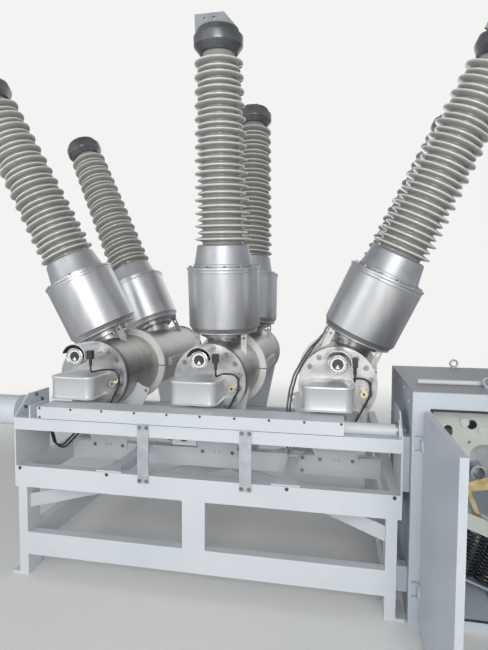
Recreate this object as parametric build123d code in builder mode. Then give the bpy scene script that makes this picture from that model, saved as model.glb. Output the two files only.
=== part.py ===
from build123d import *
import math
import os

os.makedirs("parts", exist_ok=True)

# Three-pole dead-tank gas circuit breaker on a welded stand, with its drive cabinet at the right end.
# Millimetres. X runs along the stand, Y away from the front, Z up.
# The origin is the centre of the foot bolt pattern, on the ground.

# Stand, lower part
stand_width = 2152
stand_depth = 1820
steel = 8
flange = 55
leg_inset = 20
leg_width = 55
leg_depth = 120
foot_width = 100
foot_length = 155
foot_thick = 15
foot_hole_r = 11
lower_beam_base = 124
lower_beam_height = 133
post_width = 128
brace_base = 390
brace_height = 80
brace_width = 40

# Stand, upper frame
frame_base = 523
frame_height = 404
rail_height = 122
top_rail_height = 69
side_plate_depth = 335
side_plate_rise = 113
side_plate_slope = 130
support_setback = 533
tie_offset = 465
tie_size = 60
gusset_length = 150
gusset_width = 105
tie_plate_width = 42
tie_plate_height = 112
strap_offset = 285
strap_width = 65
strap_thick = 6
strap_lap = 43

# Linkage along the top rail
sheet = 4
cover_left_gap = 150
cover_right_gap = 286
cover_depth = 170
cover_height = 70
linkage_axis_y = 88
linkage_axis_z = 948
drive_tube_r = 33
drive_flange_r = 58
drive_flange_thick = 10
stub_r = 27
stub_plate_gap = 45
stub_plate_thick = 8
stub_plate_height = 73
spring_tube_r = 87
spring_tube_length = 500
spring_flange_r = 91
spring_flange_thick = 15
spring_cap_r = 95
spring_cap_length = 30
indicator_x = -105
indicator_width = 142
indicator_base = 775
indicator_lap = 58
indicator_thick = 3
dial_r = 45
dial_rise = 53
dial_thick = 8

# Tanks
pole_pitch = 753
tank_axis_z = 1125
tank_mid = 1177
tank_length = 1694
tank_r = 216
tank_flange_r = 222
tank_flange_thick = 28
cover_thick = 25
ring_setback = 888
ring_r = 262
ring_width = 28
ring_split = 3
seat_gap = 0.3
cradle_thick = 10
cradle_base = 600
cradle_foot_half = 130
cradle_arm_half = 212
cradle_arm_z = 1060
cradle_shoulder = 235
cradle_shoulder_z = 1043
cradle_ear_half = 295
cradle_ear_z = 1023
cradle_ear_round = 6
cradle_hole_x = 268
cradle_hole_z = 1008
cradle_hole_r = 11
cradle_slot_half = 16
cradle_slot_z = 633
cradle_slot_r = 9
lug_reach = 176
lug_inner = 138
lug_thick = 10
lug_offset = 150
lug_hole_r = 9
lug_hole_reach = 157
lug_hole_height = 235
lug_top_gap = 15

# Bushings, measured along their own axis from the tank axis
bushing_spacing = 845
bushing_tilt = 6
pole_lean = 25
neck_r = 118
neck_flange_r = 160
neck_flange_thick = 14
ct_base = 280
ct_height = 425
ct_r = 235
ct_rim_r = 241
ct_rim_height = 14
ct_bottom_cone = 26
ct_bottom_height = 32
collar_height = 145
collar_foot_r = 196
collar_foot_height = 20
collar_foot_step = 6
collar_top_r = 169
collar_waist_grow = 8
collar_waist = 0.6
collar_round = 8
porcelain_height = 1160
shed_count = 14
first_shed = 35
shed_pitch = 82.3
shed_under = 10
shed_over = 28
shed_r_low = 183
shed_r_high = 152
small_shed_r_low = 165
small_shed_r_high = 134
core_r_low = 134
core_r_high = 102
cap_height = 140
cap_r = 153
cap_top_r = 134
cap_throat_r = 118
cap_round = 6
cap_band_low = 0.3
cap_band_high = 0.7
stud_r = 20
stud_height = 40
pad_height = 100
pad_thick = 20
pad_left = 145
pad_right = 40
pad_root_right = 125
pad_hole_r = 8
pad_hole_pitch = 60

# Fittings on each tank front
crank_box_left = 170
crank_box_width = 250
crank_box_base = 1012
crank_box_height = 153
crank_box_depth = 190
crank_box_corner = 60
crank_box_bead = 4
crank_box_bead_height = 12
gauge_z = 1274
gauge_r = 50
gauge_case_depth = 60
gauge_depth = 215
gauge_stem_r = 14
hood_r = 74
hood_sheet = 3
hood_depth = 232
hood_turn = 13
plug_width = 30
plug_depth = 34
plug_rise = 36
plug_drop = 14
plug_neck_r = 9
plug_neck_length = 38
valve_offset = 146
valve_drop = 37
valve_pad_width = 50
valve_pad_height = 82
valve_pad_thick = 16
valve_body_r = 17
valve_cap_r = 22
valve_length = 45
valve_cap_length = 18
tray_setback = 1090
tray_length = 450
tray_height = 60
tray_thick = 28
tray_sheet = 2
tray_slot_pitch = 30
tray_slot_width = 12
tray_slot_height = 18
tray_slots = 14

# Leads
lead_r = 5
lead_clear = 4
lead_standoff = 18
lead_end_x = 88
lead_drop = 8
route_step = 10
gland_r = 11
gland_length = 25
cable_r = 6
cable_gland_r = 10
cable_gland_length = 30
cable_reach = 197
cable_apart = 24
control_setback = 270
control_rise = 267

# Drive cabinet
cabinet_gap = 39
cabinet_width = 770
cabinet_depth = 922
cabinet_height = 1170
cabinet_sheet = 4
stile_width = 94
header_height = 94
return_depth = 22
seal_width = 12
seal_thick = 3
sill_height = 60
eye_y_front = 176
eye_y_back = 902
eye_r = 22
eye_wire_r = 6
bar_length = 330
bar_r = 13
bar_setback = 230
bracket_width = 60

# Cabinet door
door_width = 672
door_height = 1072
door_thick = 30
door_sheet = 3
door_base = 12
door_standoff = 8
hinge_pin_r = 5
hinge_running_gap = 0.05
hinge_sleeve_r = 9
hinge_sleeve_length = 50
hinge_ear = 10
hinge_gap = 4
leaf_gap = 10
hinge_inset = 170
hinge_leaf = 34

# Drive mechanism
mech_setback = 120
mech_plate_thick = 12
mech_height = 396
mech_top_gap = 74
oval_port_x = 186
oval_port_drop = 143
oval_port_r = 23
oval_port_rise = 31
mech_port_x = 299
mech_port_drop = 105
mech_port_r = 24
pin_port_x = 289
pin_port_drop = 193
pin_port_r = 8
roller_x = 262
roller_drop = 93
roller_r = 21
roller_thick = 14
disc_x = 346
disc_drop = 129
disc_r = 17
disc_thick = 5
mech_arch_left = 293
mech_arch_width = 200
mech_arch_height = 192
mech_arch_r = 60
back_plate_setback = 300
back_plate_drop = 80
back_plate_height = 300
spacer_r = 14
spacer_inset = 60
shaft_x = 364
shaft_rise = 16
shaft_r = 40
shaft_bore_r = 30
shaft_reach = 90
lever_x = 521
lever_rise = 22
lever_boss_r = 45
lever_end_x = 293
lever_end_drop = 36
lever_end_r = 22
lever_thick = 10
lever_gap = 8
spring_lean = 20
spring_seat_x = 286
spring_seat_z = 175
spring_seat_y = 205
spring_spacing = 118
closing_spring_r = 49
closing_spring_wire_r = 6.5
closing_spring_pitch = 19.4
closing_spring_turns = 12.3
coil_sides = 10
crosshead_half = 175
crosshead_height = 80
crosshead_depth = 80
seat_thick = 12
seat_post_width = 14
link_width = 24
link_thick = 14
crosshead_pin_r = 7

# Places worked out from those sizes
front = -stand_depth / 2
half_width = stand_width / 2
leg_outer = half_width - leg_inset
leg_inner = leg_outer - leg_width
frame_top = frame_base + frame_height
rail_top = frame_base + rail_height
side_member_inner = half_width - flange
tank_front = tank_mid - tank_length / 2
pole_places = [(-pole_pitch, -pole_lean), (0, 0), (pole_pitch, pole_lean)]
cover_left = cover_left_gap - half_width
cover_right = half_width - cover_right_gap
cabinet_left = half_width + cabinet_gap
cabinet_right = cabinet_left + cabinet_width
collar_base = ct_base + ct_height
porcelain_base = collar_base + collar_height
cap_base = porcelain_base + porcelain_height
cap_top = cap_base + cap_height


def channel(plane, height, length, width=flange):
    """C section with its web on the plane's local Y axis, flanges towards local +X, run along the normal."""
    with BuildPart() as piece:
        with BuildSketch(plane):
            with BuildLine():
                Polyline((0, 0), (width, 0), (width, steel), (steel, steel), (steel, height - steel),
                         (width, height - steel), (width, height), (0, height), close=True)
            make_face()
        extrude(amount=length)
    return piece.part


def block(x, y, z):
    """Plain block between two limits on each axis."""
    with BuildPart() as piece:
        with Locations(((x[0] + x[1]) / 2, (y[0] + y[1]) / 2, (z[0] + z[1]) / 2)):
            Box(x[1] - x[0], y[1] - y[0], z[1] - z[0])
    return piece.part


def rod_along_y(x, z, radius, start, end):
    """Round bar along Y between two depths."""
    with BuildPart() as piece:
        with BuildSketch(Plane.XZ.offset(-start)):
            with Locations((x, z)):
                Circle(radius)
        extrude(amount=-(end - start))
    return piece.part


def turned(points):
    """Solid of revolution about Z from an outline of (radius, height) points."""
    with BuildPart() as piece:
        with BuildSketch(Plane.XZ):
            with BuildLine():
                Polyline(*points, close=True)
            make_face()
        revolve(axis=Axis.Z)
    return piece.part


# Legs: a channel with its web inwards on each bolted foot plate
with BuildPart() as stand_legs:
    leg_plane = Plane(origin=(leg_inner, front, foot_thick), x_dir=(1, 0, 0), z_dir=(0, 0, 1))
    with BuildSketch(leg_plane):
        with BuildLine():
            Polyline((0, 0), (leg_width, 0), (leg_width, steel), (steel, steel), (steel, leg_depth - steel),
                     (leg_width, leg_depth - steel), (leg_width, leg_depth), (0, leg_depth), close=True)
        make_face()
    extrude(amount=frame_base - foot_thick)
    with BuildSketch():
        with Locations((leg_inner - seat_gap, front)):
            Rectangle(foot_width, foot_length, align=(Align.MIN, Align.MIN))
        with Locations((leg_inner + leg_width / 2 + steel, front + foot_length / 2)):
            Circle(foot_hole_r, mode=Mode.SUBTRACT)
    extrude(amount=foot_thick)
    mirror(about=Plane.YZ)
    mirror(about=Plane.XZ)
stand_legs.part.label = "stand_legs"

# Lower beams between the legs, webs outwards at the front and back and inwards at the sides
side_beam_length = stand_depth - 2 * leg_depth
front_beam_plane = Plane(origin=(-leg_inner, front, lower_beam_base), x_dir=(0, 1, 0), z_dir=(1, 0, 0))
side_beam_plane = Plane(origin=(leg_inner, -front - leg_depth, lower_beam_base), x_dir=(1, 0, 0),
                        z_dir=(0, -1, 0))
with BuildPart() as lower_beams:
    add(channel(front_beam_plane, lower_beam_height, 2 * leg_inner))
    mirror(about=Plane.XZ)
    add(channel(side_beam_plane, lower_beam_height, side_beam_length, leg_width))
    mirror(about=Plane.YZ)
lower_beams.part.label = "lower_beams"

# Posts in the middle of the front and back
post_base = lower_beam_base + lower_beam_height
with BuildPart() as mid_posts:
    with BuildSketch(Plane.XY.offset(post_base)):
        with Locations((0, front)):
            Rectangle(post_width, flange, align=(Align.CENTER, Align.MIN))
        with Locations((0, front + steel)):
            Rectangle(post_width - 2 * steel, flange - steel, align=(Align.CENTER, Align.MIN),
                      mode=Mode.SUBTRACT)
    extrude(amount=frame_base - post_base)
    mirror(about=Plane.XZ)
mid_posts.part.label = "mid_posts"

# Level cross bracing between the legs: one bar runs through and two half bars meet it
brace_end_y = front + leg_depth / 2
brace_angle = math.degrees(math.atan2(-brace_end_y, leg_inner))
brace_run = 2 * math.hypot(leg_inner, brace_end_y) + leg_depth


def brace(angle, start, end):
    """Channel on its side at an angle in plan, between two distances from the centre."""
    direction = Vector(1, 0, 0).rotate(Axis.Z, angle)
    plane = Plane(origin=direction * start, x_dir=direction.rotate(Axis.Z, 90), z_dir=direction)
    with BuildPart() as piece:
        with BuildSketch(plane):
            with BuildLine():
                low = brace_base
                high = brace_base + brace_height
                half = brace_width / 2
                Polyline((-half, low), (half, low), (half, low + steel), (steel - half, low + steel),
                         (steel - half, high), (-half, high), close=True)
            make_face()
        extrude(amount=end - start)
        with Locations((0, 0, brace_base + brace_height / 2)):
            Box(2 * leg_inner, stand_depth, 2 * brace_height, mode=Mode.INTERSECT)
    return piece.part


crossing = math.radians(2 * brace_angle)
brace_cross = brace_width / 2 / math.sin(crossing) * (1 + abs(math.cos(crossing)))
with BuildPart() as plan_braces:
    add(brace(brace_angle, -brace_run / 2, brace_run / 2))
    add(brace(180 - brace_angle, brace_cross + seat_gap, brace_run / 2))
    add(brace(-brace_angle, brace_cross + seat_gap, brace_run / 2))
plan_braces.part.label = "plan_braces"

# Cross rails of the upper frame: front rail, back rail, and the support beam under the tank fronts
front_rail_plane = Plane(origin=(steel - half_width, front, frame_base), x_dir=(0, 1, 0), z_dir=(1, 0, 0))
back_rail_plane = Plane(origin=(half_width, -front, frame_base), x_dir=(0, -1, 0), z_dir=(-1, 0, 0))
support_plane = Plane(origin=(-side_member_inner, front + support_setback, frame_base),
                      x_dir=(0, 1, 0), z_dir=(1, 0, 0))
with BuildPart() as cross_rails:
    add(channel(front_rail_plane, rail_height, stand_width - 2 * steel))
    add(channel(back_rail_plane, rail_height, stand_width))
    add(channel(support_plane, rail_height, 2 * side_member_inner))
cross_rails.part.label = "cross_rails"

# Top rail along the front
top_rail_plane = Plane(origin=(steel - half_width, front, frame_top - top_rail_height),
                       x_dir=(0, 1, 0), z_dir=(1, 0, 0))
with BuildPart() as top_rail:
    add(channel(top_rail_plane, top_rail_height, stand_width - 2 * steel))
top_rail.part.label = "top_rail"

# Side plates: full height at the front, with a sloped nose above the rail and a channel welded inside
with BuildPart() as side_plates:
    with BuildSketch(Plane.YZ.offset(half_width - steel)):
        with BuildLine():
            Polyline((front, frame_base), (front + side_plate_depth, frame_base),
                     (front + side_plate_depth, frame_top + side_plate_rise),
                     (front + side_plate_slope, frame_top + side_plate_rise), (front, frame_top), close=True)
        make_face()
    extrude(amount=steel)
    for inner, low, high in ((half_width - steel, frame_base, frame_base + steel),
                             (half_width - steel, rail_top - steel, rail_top),
                             (side_member_inner + steel, frame_base, rail_top)):
        add(block((side_member_inner, inner), (front + flange, front + side_plate_depth), (low, high)))
    mirror(about=Plane.YZ)
side_plates.part.label = "side_plates"

# Side members behind the side plates, webs inwards
side_member_length = stand_depth - side_plate_depth - flange
side_member_back = front + side_plate_depth + side_member_length
side_member_plane = Plane(origin=(side_member_inner, side_member_back, frame_base), x_dir=(1, 0, 0),
                          z_dir=(0, -1, 0))
with BuildPart() as side_members:
    add(channel(side_member_plane, rail_height, side_member_length))
    mirror(about=Plane.YZ)
side_members.part.label = "side_members"

# Ties from the front rail to the support beam, with a gusset at each end and a plate at the far one
gusset_back = front + support_setback + flange
with BuildPart() as frame_ties:
    add(block((tie_offset, tie_offset + tie_size), (front + flange, front + support_setback),
              (rail_top - steel, rail_top)))
    add(block((tie_offset, tie_offset + steel), (front + flange, front + support_setback),
              (rail_top - tie_size, rail_top)))
    middle = tie_offset + tie_size / 2
    for wide_y, narrow_y in ((front + steel, front + gusset_width),
                             (gusset_back - steel, gusset_back - gusset_width)):
        with BuildSketch(Plane.XY.offset(rail_top)):
            with BuildLine():
                Polyline((middle - gusset_length / 2, wide_y), (middle + gusset_length / 2, wide_y),
                         (middle + tie_size / 2, narrow_y), (middle - tie_size / 2, narrow_y), close=True)
            make_face()
        extrude(amount=steel)
    add(block((tie_offset + tie_size, tie_offset + tie_size + tie_plate_width),
              (front + support_setback - steel, front + support_setback),
              (rail_top - tie_plate_height, rail_top)))
    mirror(about=Plane.YZ)
frame_ties.part.label = "frame_ties"

# Galvanised straps bolted over both front rails
with BuildPart() as rail_straps:
    with BuildSketch(Plane.XZ.offset(-front)):
        with Locations((strap_offset, rail_top - strap_lap)):
            Rectangle(strap_width, frame_top - rail_top + strap_lap + sheet, align=(Align.CENTER, Align.MIN))
    extrude(amount=strap_thick)
    mirror(about=Plane.YZ)
rail_straps.part.label = "rail_straps"

# Linkage cover: folded sheet open below, closed at both ends
cover_top = frame_top + cover_height
with BuildPart() as linkage_cover:
    add(block((cover_left, cover_right), (front, front + cover_depth), (frame_top, cover_top)))
    add(block((cover_left + sheet, cover_right - sheet), (front + sheet, front + cover_depth - sheet),
              (frame_top, cover_top - sheet)), mode=Mode.SUBTRACT)
linkage_cover.part.label = "linkage_cover"

# Plate of the position indicator behind the cover, with its round dial under it
indicator_y = front + cover_depth
with BuildPart() as position_indicator:
    add(block((indicator_x - indicator_width / 2, indicator_x + indicator_width / 2),
              (indicator_y, indicator_y + indicator_thick), (indicator_base, frame_top + indicator_lap)))
    add(rod_along_y(indicator_x, indicator_base + dial_rise, dial_r, indicator_y - dial_thick, indicator_y))
position_indicator.part.label = "position_indicator"


def tube_along_x(radius, start, end):
    """Round bar along X on the linkage axis."""
    with BuildPart() as piece:
        with BuildSketch(Plane.YZ.offset(start)):
            with Locations((front + linkage_axis_y, linkage_axis_z)):
                Circle(radius)
        extrude(amount=end - start)
    return piece.part


# Stub and upright plate at the left end of the cover
stub_plate_right = cover_left - stub_plate_gap
with BuildPart() as linkage_stub:
    add(tube_along_x(stub_r, stub_plate_right, cover_left))
    add(block((stub_plate_right - stub_plate_thick, stub_plate_right), (front, front + cover_depth),
              (frame_top, frame_top + stub_plate_height)))
linkage_stub.part.label = "linkage_stub"

# Tube that carries the drive rod from the cover to the right side plate
drive_tube_end = half_width - steel
with BuildPart() as drive_tube:
    add(tube_along_x(drive_tube_r, cover_right, drive_tube_end))
    add(tube_along_x(drive_flange_r, drive_tube_end - drive_flange_thick, drive_tube_end))
    with Locations((drive_tube_end, front + linkage_axis_y, frame_top)):
        Box(2 * cover_right_gap, 4 * drive_flange_r, 4 * drive_flange_r, mode=Mode.INTERSECT,
            align=(Align.CENTER, Align.CENTER, Align.MIN))
drive_tube.part.label = "drive_tube"

# Opening spring in its round housing on the left side plate
with BuildPart() as spring_tube:
    add(tube_along_x(spring_flange_r, -half_width - spring_flange_thick, -half_width))
    add(tube_along_x(spring_tube_r, -half_width - spring_tube_length, -half_width))
    add(tube_along_x(spring_cap_r, -half_width - spring_tube_length, -half_width - spring_tube_length
                     + spring_cap_length))
spring_tube.part.label = "spring_tube"

# Tanks: round vessels along Y with end flanges and an inclined neck for each bushing
neck_half = bushing_spacing / 2
tank_mid_y = front + tank_mid
tank_front_y = front + tank_front
body_front = tank_front_y + cover_thick


def bushing_locations():
    """Place of each bushing: its origin on the tank axis and local Z along the bushing."""
    places = []
    for x, lean in pole_places:
        for side in (-1, 1):
            tilt = math.radians(bushing_tilt)
            roll = math.radians(lean)
            direction = (math.cos(tilt) * math.sin(roll), side * math.sin(tilt),
                         math.cos(tilt) * math.cos(roll))
            across = (math.cos(roll), 0, -math.sin(roll))
            origin = (x, tank_mid_y + side * neck_half, tank_axis_z)
            places.append(Plane(origin=origin, x_dir=across, z_dir=direction).location)
    return places


bushings = bushing_locations()
front_bushings = bushings[0::2]
back_bushings = bushings[1::2]

neck = turned([(0, 0), (neck_r, 0), (neck_r, ct_base - 2 * neck_flange_thick),
               (neck_flange_r, ct_base - 2 * neck_flange_thick), (neck_flange_r, ct_base), (0, ct_base)])
with BuildPart() as tanks:
    for pole_x, lean in pole_places:
        add(rod_along_y(pole_x, tank_axis_z, tank_r, body_front, 2 * tank_mid_y - body_front))
        add(rod_along_y(pole_x, tank_axis_z, tank_flange_r, body_front, body_front + tank_flange_thick))
        add(rod_along_y(pole_x, tank_axis_z, tank_flange_r, 2 * tank_mid_y - body_front - tank_flange_thick,
                        2 * tank_mid_y - body_front))
    with Locations(*bushings):
        add(neck)
tanks.part.label = "tanks"

# Bolted end covers, front and back
with BuildPart() as end_covers:
    for pole_x, lean in pole_places:
        add(rod_along_y(pole_x, tank_axis_z, tank_flange_r, tank_front_y, body_front))
        add(rod_along_y(pole_x, tank_axis_z, tank_flange_r, 2 * tank_mid_y - body_front,
                        2 * tank_mid_y - tank_front_y))
end_covers.part.label = "end_covers"

# Clamp ring in two halves round each tank
ring_y = front + ring_setback
with BuildPart() as clamp_rings:
    with BuildSketch(Plane.XZ.offset(-ring_y)):
        with Locations(*[(x, tank_axis_z) for x, lean in pole_places]):
            Circle(ring_r)
            Circle(tank_r + seat_gap, mode=Mode.SUBTRACT)
            Rectangle(3 * ring_r, ring_split, mode=Mode.SUBTRACT)
    extrude(amount=-ring_width)
clamp_rings.part.label = "clamp_rings"

# Cradle plates that carry the tanks, on the support beam and on the back rail; those of the leaning
# poles have an ear towards the middle
with BuildPart() as tank_cradles:
    waist_z = rail_top + steel
    for cradle_front in (front + support_setback - cradle_thick, -front):
        with BuildSketch(Plane.XZ.offset(-cradle_front)):
            for pole_x, lean in pole_places:
                sides = []
                for side in (1, -1):
                    edge = [(cradle_foot_half, cradle_base), (cradle_foot_half, waist_z),
                            (cradle_arm_half, cradle_arm_z)]
                    if side * lean < 0:
                        edge[2:2] = [(cradle_ear_half, cradle_ear_z), (cradle_shoulder, cradle_shoulder_z)]
                    sides.append([(pole_x + side * x, z) for x, z in edge])
                with BuildLine():
                    Polyline(*sides[0], *reversed(sides[1]), close=True)
                make_face()
                with Locations((pole_x, tank_axis_z)):
                    Circle(tank_r + seat_gap, mode=Mode.SUBTRACT)
                with Locations((pole_x - cradle_slot_half, cradle_slot_z),
                               (pole_x + cradle_slot_half, cradle_slot_z)):
                    Circle(cradle_slot_r, mode=Mode.SUBTRACT)
            fillet(vertices().filter_by(lambda v: abs(v.Y - cradle_ear_z) < seat_gap), cradle_ear_round)
            with Locations((cradle_hole_x - pole_pitch, cradle_hole_z),
                           (pole_pitch - cradle_hole_x, cradle_hole_z)):
                Circle(cradle_hole_r, mode=Mode.SUBTRACT)
        extrude(amount=-cradle_thick)
tank_cradles.part.label = "tank_cradles"

# Lifting lugs at both sides of the necks, on the tank's round back
lug_low = math.sqrt(tank_r ** 2 - lug_reach ** 2) + 2 * seat_gap
lug_high = math.sqrt(tank_r ** 2 - lug_inner ** 2) + 2 * seat_gap
with BuildPart() as lug_pair:
    with BuildSketch(Plane.XZ):
        with BuildLine():
            Line((lug_reach, lug_low), (lug_reach, ct_base - lug_top_gap))
            Line((lug_reach, ct_base - lug_top_gap), (lug_inner, ct_base - lug_top_gap))
            Line((lug_inner, ct_base - lug_top_gap), (lug_inner, lug_high))
            RadiusArc((lug_inner, lug_high), (lug_reach, lug_low), tank_r + seat_gap)
        make_face()
        with Locations((lug_hole_reach, lug_hole_height)):
            Circle(lug_hole_r, mode=Mode.SUBTRACT)
    extrude(amount=lug_thick / 2, both=True)
    mirror(about=Plane.YZ)
lug_places = []
for pole_x, lean in pole_places:
    for side in (-1, 1):
        lug_places.append(Plane(origin=(pole_x, tank_mid_y + side * (neck_half + lug_offset), tank_axis_z),
                                x_dir=Vector(1, 0, 0).rotate(Axis.Y, lean),
                                z_dir=Vector(0, 0, 1).rotate(Axis.Y, lean)).location)
with BuildPart() as lifting_lugs:
    with Locations(*lug_places):
        add(lug_pair.part)
lifting_lugs.part.label = "lifting_lugs"

# Round housings of the current transformers
ct_rim_base = ct_height - ct_rim_height
ct_housing = turned([(0, 0), (ct_r - ct_bottom_cone, 0), (ct_r, ct_bottom_height), (ct_r, ct_rim_base),
                     (ct_rim_r, ct_rim_base), (ct_rim_r, ct_height), (0, ct_height)])
with BuildPart() as ct_housings:
    with Locations(*[place * Location((0, 0, ct_base)) for place in bushings]):
        add(ct_housing)
ct_housings.part.label = "ct_housings"

# Bell-shaped collars
collar = turned([(0, 0), (collar_foot_r, 0), (collar_foot_r, collar_foot_height),
                 (collar_foot_r - collar_foot_step, collar_foot_height),
                 (collar_top_r + collar_waist_grow, collar_height * collar_waist),
                 (collar_top_r, collar_height - collar_round), (collar_top_r - collar_round, collar_height),
                 (0, collar_height)])
with BuildPart() as collars:
    with Locations(*[place * Location((0, 0, collar_base)) for place in bushings]):
        add(collar)
collars.part.label = "collars"


def taper(low, high, height):
    """Radius at a height up the porcelain, between its foot and its top shed."""
    return low + (high - low) * (height - first_shed) / (shed_pitch * (shed_count - 1))


# Porcelain: large and small sheds in turn on a tapered core, with a plain neck on top
outline = [(0, 0), (core_r_low, 0)]
for index in range(shed_count):
    height = first_shed + index * shed_pitch
    core = taper(core_r_low, core_r_high, height)
    outline.append((core, height - shed_under))
    outline.append((taper(shed_r_low, shed_r_high, height), height))
    outline.append((core, height + shed_over))
    if index < shed_count - 1:
        small = height + shed_pitch / 2
        outline.append((taper(small_shed_r_low, small_shed_r_high, small), small))
outline.append((core_r_high, porcelain_height))
outline.append((0, porcelain_height))
shed_stack = turned(outline)
with BuildPart() as porcelains:
    with Locations(*[place * Location((0, 0, porcelain_base)) for place in bushings]):
        add(shed_stack)
porcelains.part.label = "porcelains"

# Metal caps, with a stud on each back cap
band_low = cap_height * cap_band_low
band_high = cap_height * cap_band_high
cap = turned([(0, 0), (cap_throat_r, 0), (cap_r, band_low), (cap_r, band_high),
              (cap_top_r, band_high + cap_round), (cap_top_r - cap_round, cap_height), (0, cap_height)])
with BuildPart() as end_caps:
    with Locations(*[place * Location((0, 0, cap_base)) for place in bushings]):
        add(cap)
    with Locations(*[place * Location((0, 0, cap_top)) for place in back_bushings]):
        Cylinder(stud_r, stud_height, align=(Align.CENTER, Align.CENTER, Align.MIN))
end_caps.part.label = "end_caps"

# Terminal pads that stand on the front caps
with BuildPart() as terminal_pad:
    with BuildSketch(Plane.XZ.offset(-pad_thick / 2)):
        with BuildLine():
            Polyline((-pad_left, 0), (pad_root_right, 0), (pad_right, pad_height), (-pad_left, pad_height),
                     close=True)
        make_face()
        with Locations(((pad_right - pad_left) / 2, pad_height / 2)):
            with GridLocations(pad_hole_pitch, pad_hole_pitch * 0.7, 2, 2):
                Circle(pad_hole_r, mode=Mode.SUBTRACT)
    extrude(amount=pad_thick)
with BuildPart() as terminals:
    with Locations(*[place * Location((0, 0, cap_top)) for place in front_bushings]):
        add(terminal_pad.part)
terminals.part.label = "terminals"

# Crank housings under the gauges: drawn boxes with a beaded lid and rim
with BuildPart() as crank_box:
    lid_base = crank_box_height - crank_box_bead_height
    for base, height, grow in ((0, crank_box_height, 0), (0, crank_box_bead_height, crank_box_bead),
                               (lid_base, crank_box_bead_height, crank_box_bead)):
        with BuildSketch(Plane.XY.offset(base)):
            with Locations((crank_box_width / 2 - crank_box_left, 0)):
                Rectangle(crank_box_width + 2 * grow, 2 * (crank_box_depth + grow))
                fillet(vertices(), crank_box_corner)
                Rectangle(2 * crank_box_width, 2 * crank_box_width, align=(Align.CENTER, Align.MIN),
                          mode=Mode.SUBTRACT)
        extrude(amount=height)
with BuildPart() as crank_boxes:
    with Locations(*[(x, tank_front_y, crank_box_base) for x, lean in pole_places]):
        add(crank_box.part)
crank_boxes.part.label = "crank_boxes"

# Gas density gauges on stems
gauge_front = tank_front_y - gauge_depth
with BuildPart() as gauges:
    for pole_x, lean in pole_places:
        add(rod_along_y(pole_x, gauge_z, gauge_r, gauge_front, gauge_front + gauge_case_depth))
        add(rod_along_y(pole_x, gauge_z, gauge_stem_r, gauge_front + gauge_case_depth, tank_front_y))
gauges.part.label = "gauges"

# Half-round hoods over the gauges
with BuildPart() as gauge_hoods:
    with BuildSketch(Plane.XZ.offset(-(tank_front_y - hood_depth))):
        with Locations(*[(x, gauge_z) for x, lean in pole_places]):
            Circle(hood_r)
            Circle(hood_r - hood_sheet, mode=Mode.SUBTRACT)
        with Locations(*[(x, gauge_z) for x, lean in pole_places]):
            Rectangle(3 * hood_r, 2 * hood_r, rotation=-hood_turn, align=(Align.CENTER, Align.MAX),
                      mode=Mode.SUBTRACT)
    extrude(amount=-hood_depth)
gauge_hoods.part.label = "gauge_hoods"

# Plugs at the right side of the hoods, each with its neck
plug_left = hood_r + seat_gap
plug_x = plug_left + plug_width / 2
plug_y = gauge_front + plug_depth / 2
neck_end = gauge_z - plug_drop - plug_neck_length
with BuildPart() as gauge_plugs:
    for pole_x, lean in pole_places:
        add(block((pole_x + plug_left, pole_x + plug_left + plug_width),
                  (gauge_front, gauge_front + plug_depth), (gauge_z - plug_drop, gauge_z + plug_rise)))
        with Locations((pole_x + plug_x, plug_y, neck_end)):
            Cylinder(plug_neck_r, plug_neck_length, align=(Align.CENTER, Align.CENTER, Align.MIN))
gauge_plugs.part.label = "gauge_plugs"

# Gas filling valves with their pads
valve_z = tank_axis_z - valve_drop
with BuildPart() as fill_valves:
    for pole_x, lean in pole_places:
        with BuildSketch(Plane.XZ.offset(-(tank_front_y - valve_pad_thick))):
            with Locations((pole_x + valve_offset, valve_z + valve_cap_r / 2)):
                SlotOverall(valve_pad_height, valve_pad_width, rotation=90)
        extrude(amount=-valve_pad_thick)
        add(rod_along_y(pole_x + valve_offset, valve_z, valve_body_r, tank_front_y - valve_length,
                        tank_front_y - valve_pad_thick))
        with BuildSketch(Plane.XZ.offset(-(tank_front_y - valve_length))):
            with Locations((pole_x + valve_offset, valve_z)):
                RegularPolygon(valve_cap_r, 6)
        extrude(amount=-valve_cap_length)
fill_valves.part.label = "fill_valves"


def lead(points, radii, radius):
    """Round cable along straight runs joined by tangent arcs."""
    with BuildPart() as piece:
        with BuildLine():
            FilletPolyline(*points, radius=radii)
        with BuildSketch(Plane(origin=points[0], z_dir=Vector(*points[1]) - Vector(*points[0]))):
            Circle(radius)
        sweep()
    return piece.part


def route(start, steps, shift=(0, 0, 0)):
    """Points of a cable, listed in steps from a place it is tied to."""
    return [tuple(start[i] + shift[i] + route_step * step[i] for i in range(3)) for step in steps]


def bends(steps):
    """Bend radii of a cable, listed in the same steps."""
    return [route_step * step for step in steps]


# Gauge leads: over the crank housing, round the valve and under the tank to a gland on the cradle
over_box = crank_box_base + crank_box_height + lead_r + lead_clear
lead_y = tank_front_y - lead_r - lead_standoff
cradle_y = front + support_setback - cradle_thick
lead_low = tank_axis_z - tank_flange_r - lead_drop
valve_clear_x = valve_offset + valve_pad_width / 2 + lead_r + lead_clear
with BuildPart() as gauge_leads:
    for pole_x, lean in pole_places:
        plug_end = pole_x + plug_x
        beside_valve = pole_x + valve_clear_x
        lead_end = pole_x + lead_end_x
        add(lead([(plug_end, plug_y, neck_end), (plug_end, plug_y, over_box + 2 * lead_clear),
                  (plug_end, lead_y, over_box), (beside_valve, lead_y, over_box - lead_clear),
                  (beside_valve + lead_clear, lead_y, valve_z - lead_r), (lead_end, lead_y, lead_low),
                  (lead_end, cradle_y - gland_length, lead_low)], bends([2, 3.6, 4.6, 8, 4]), lead_r))
gauge_leads.part.label = "gauge_leads"

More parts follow.
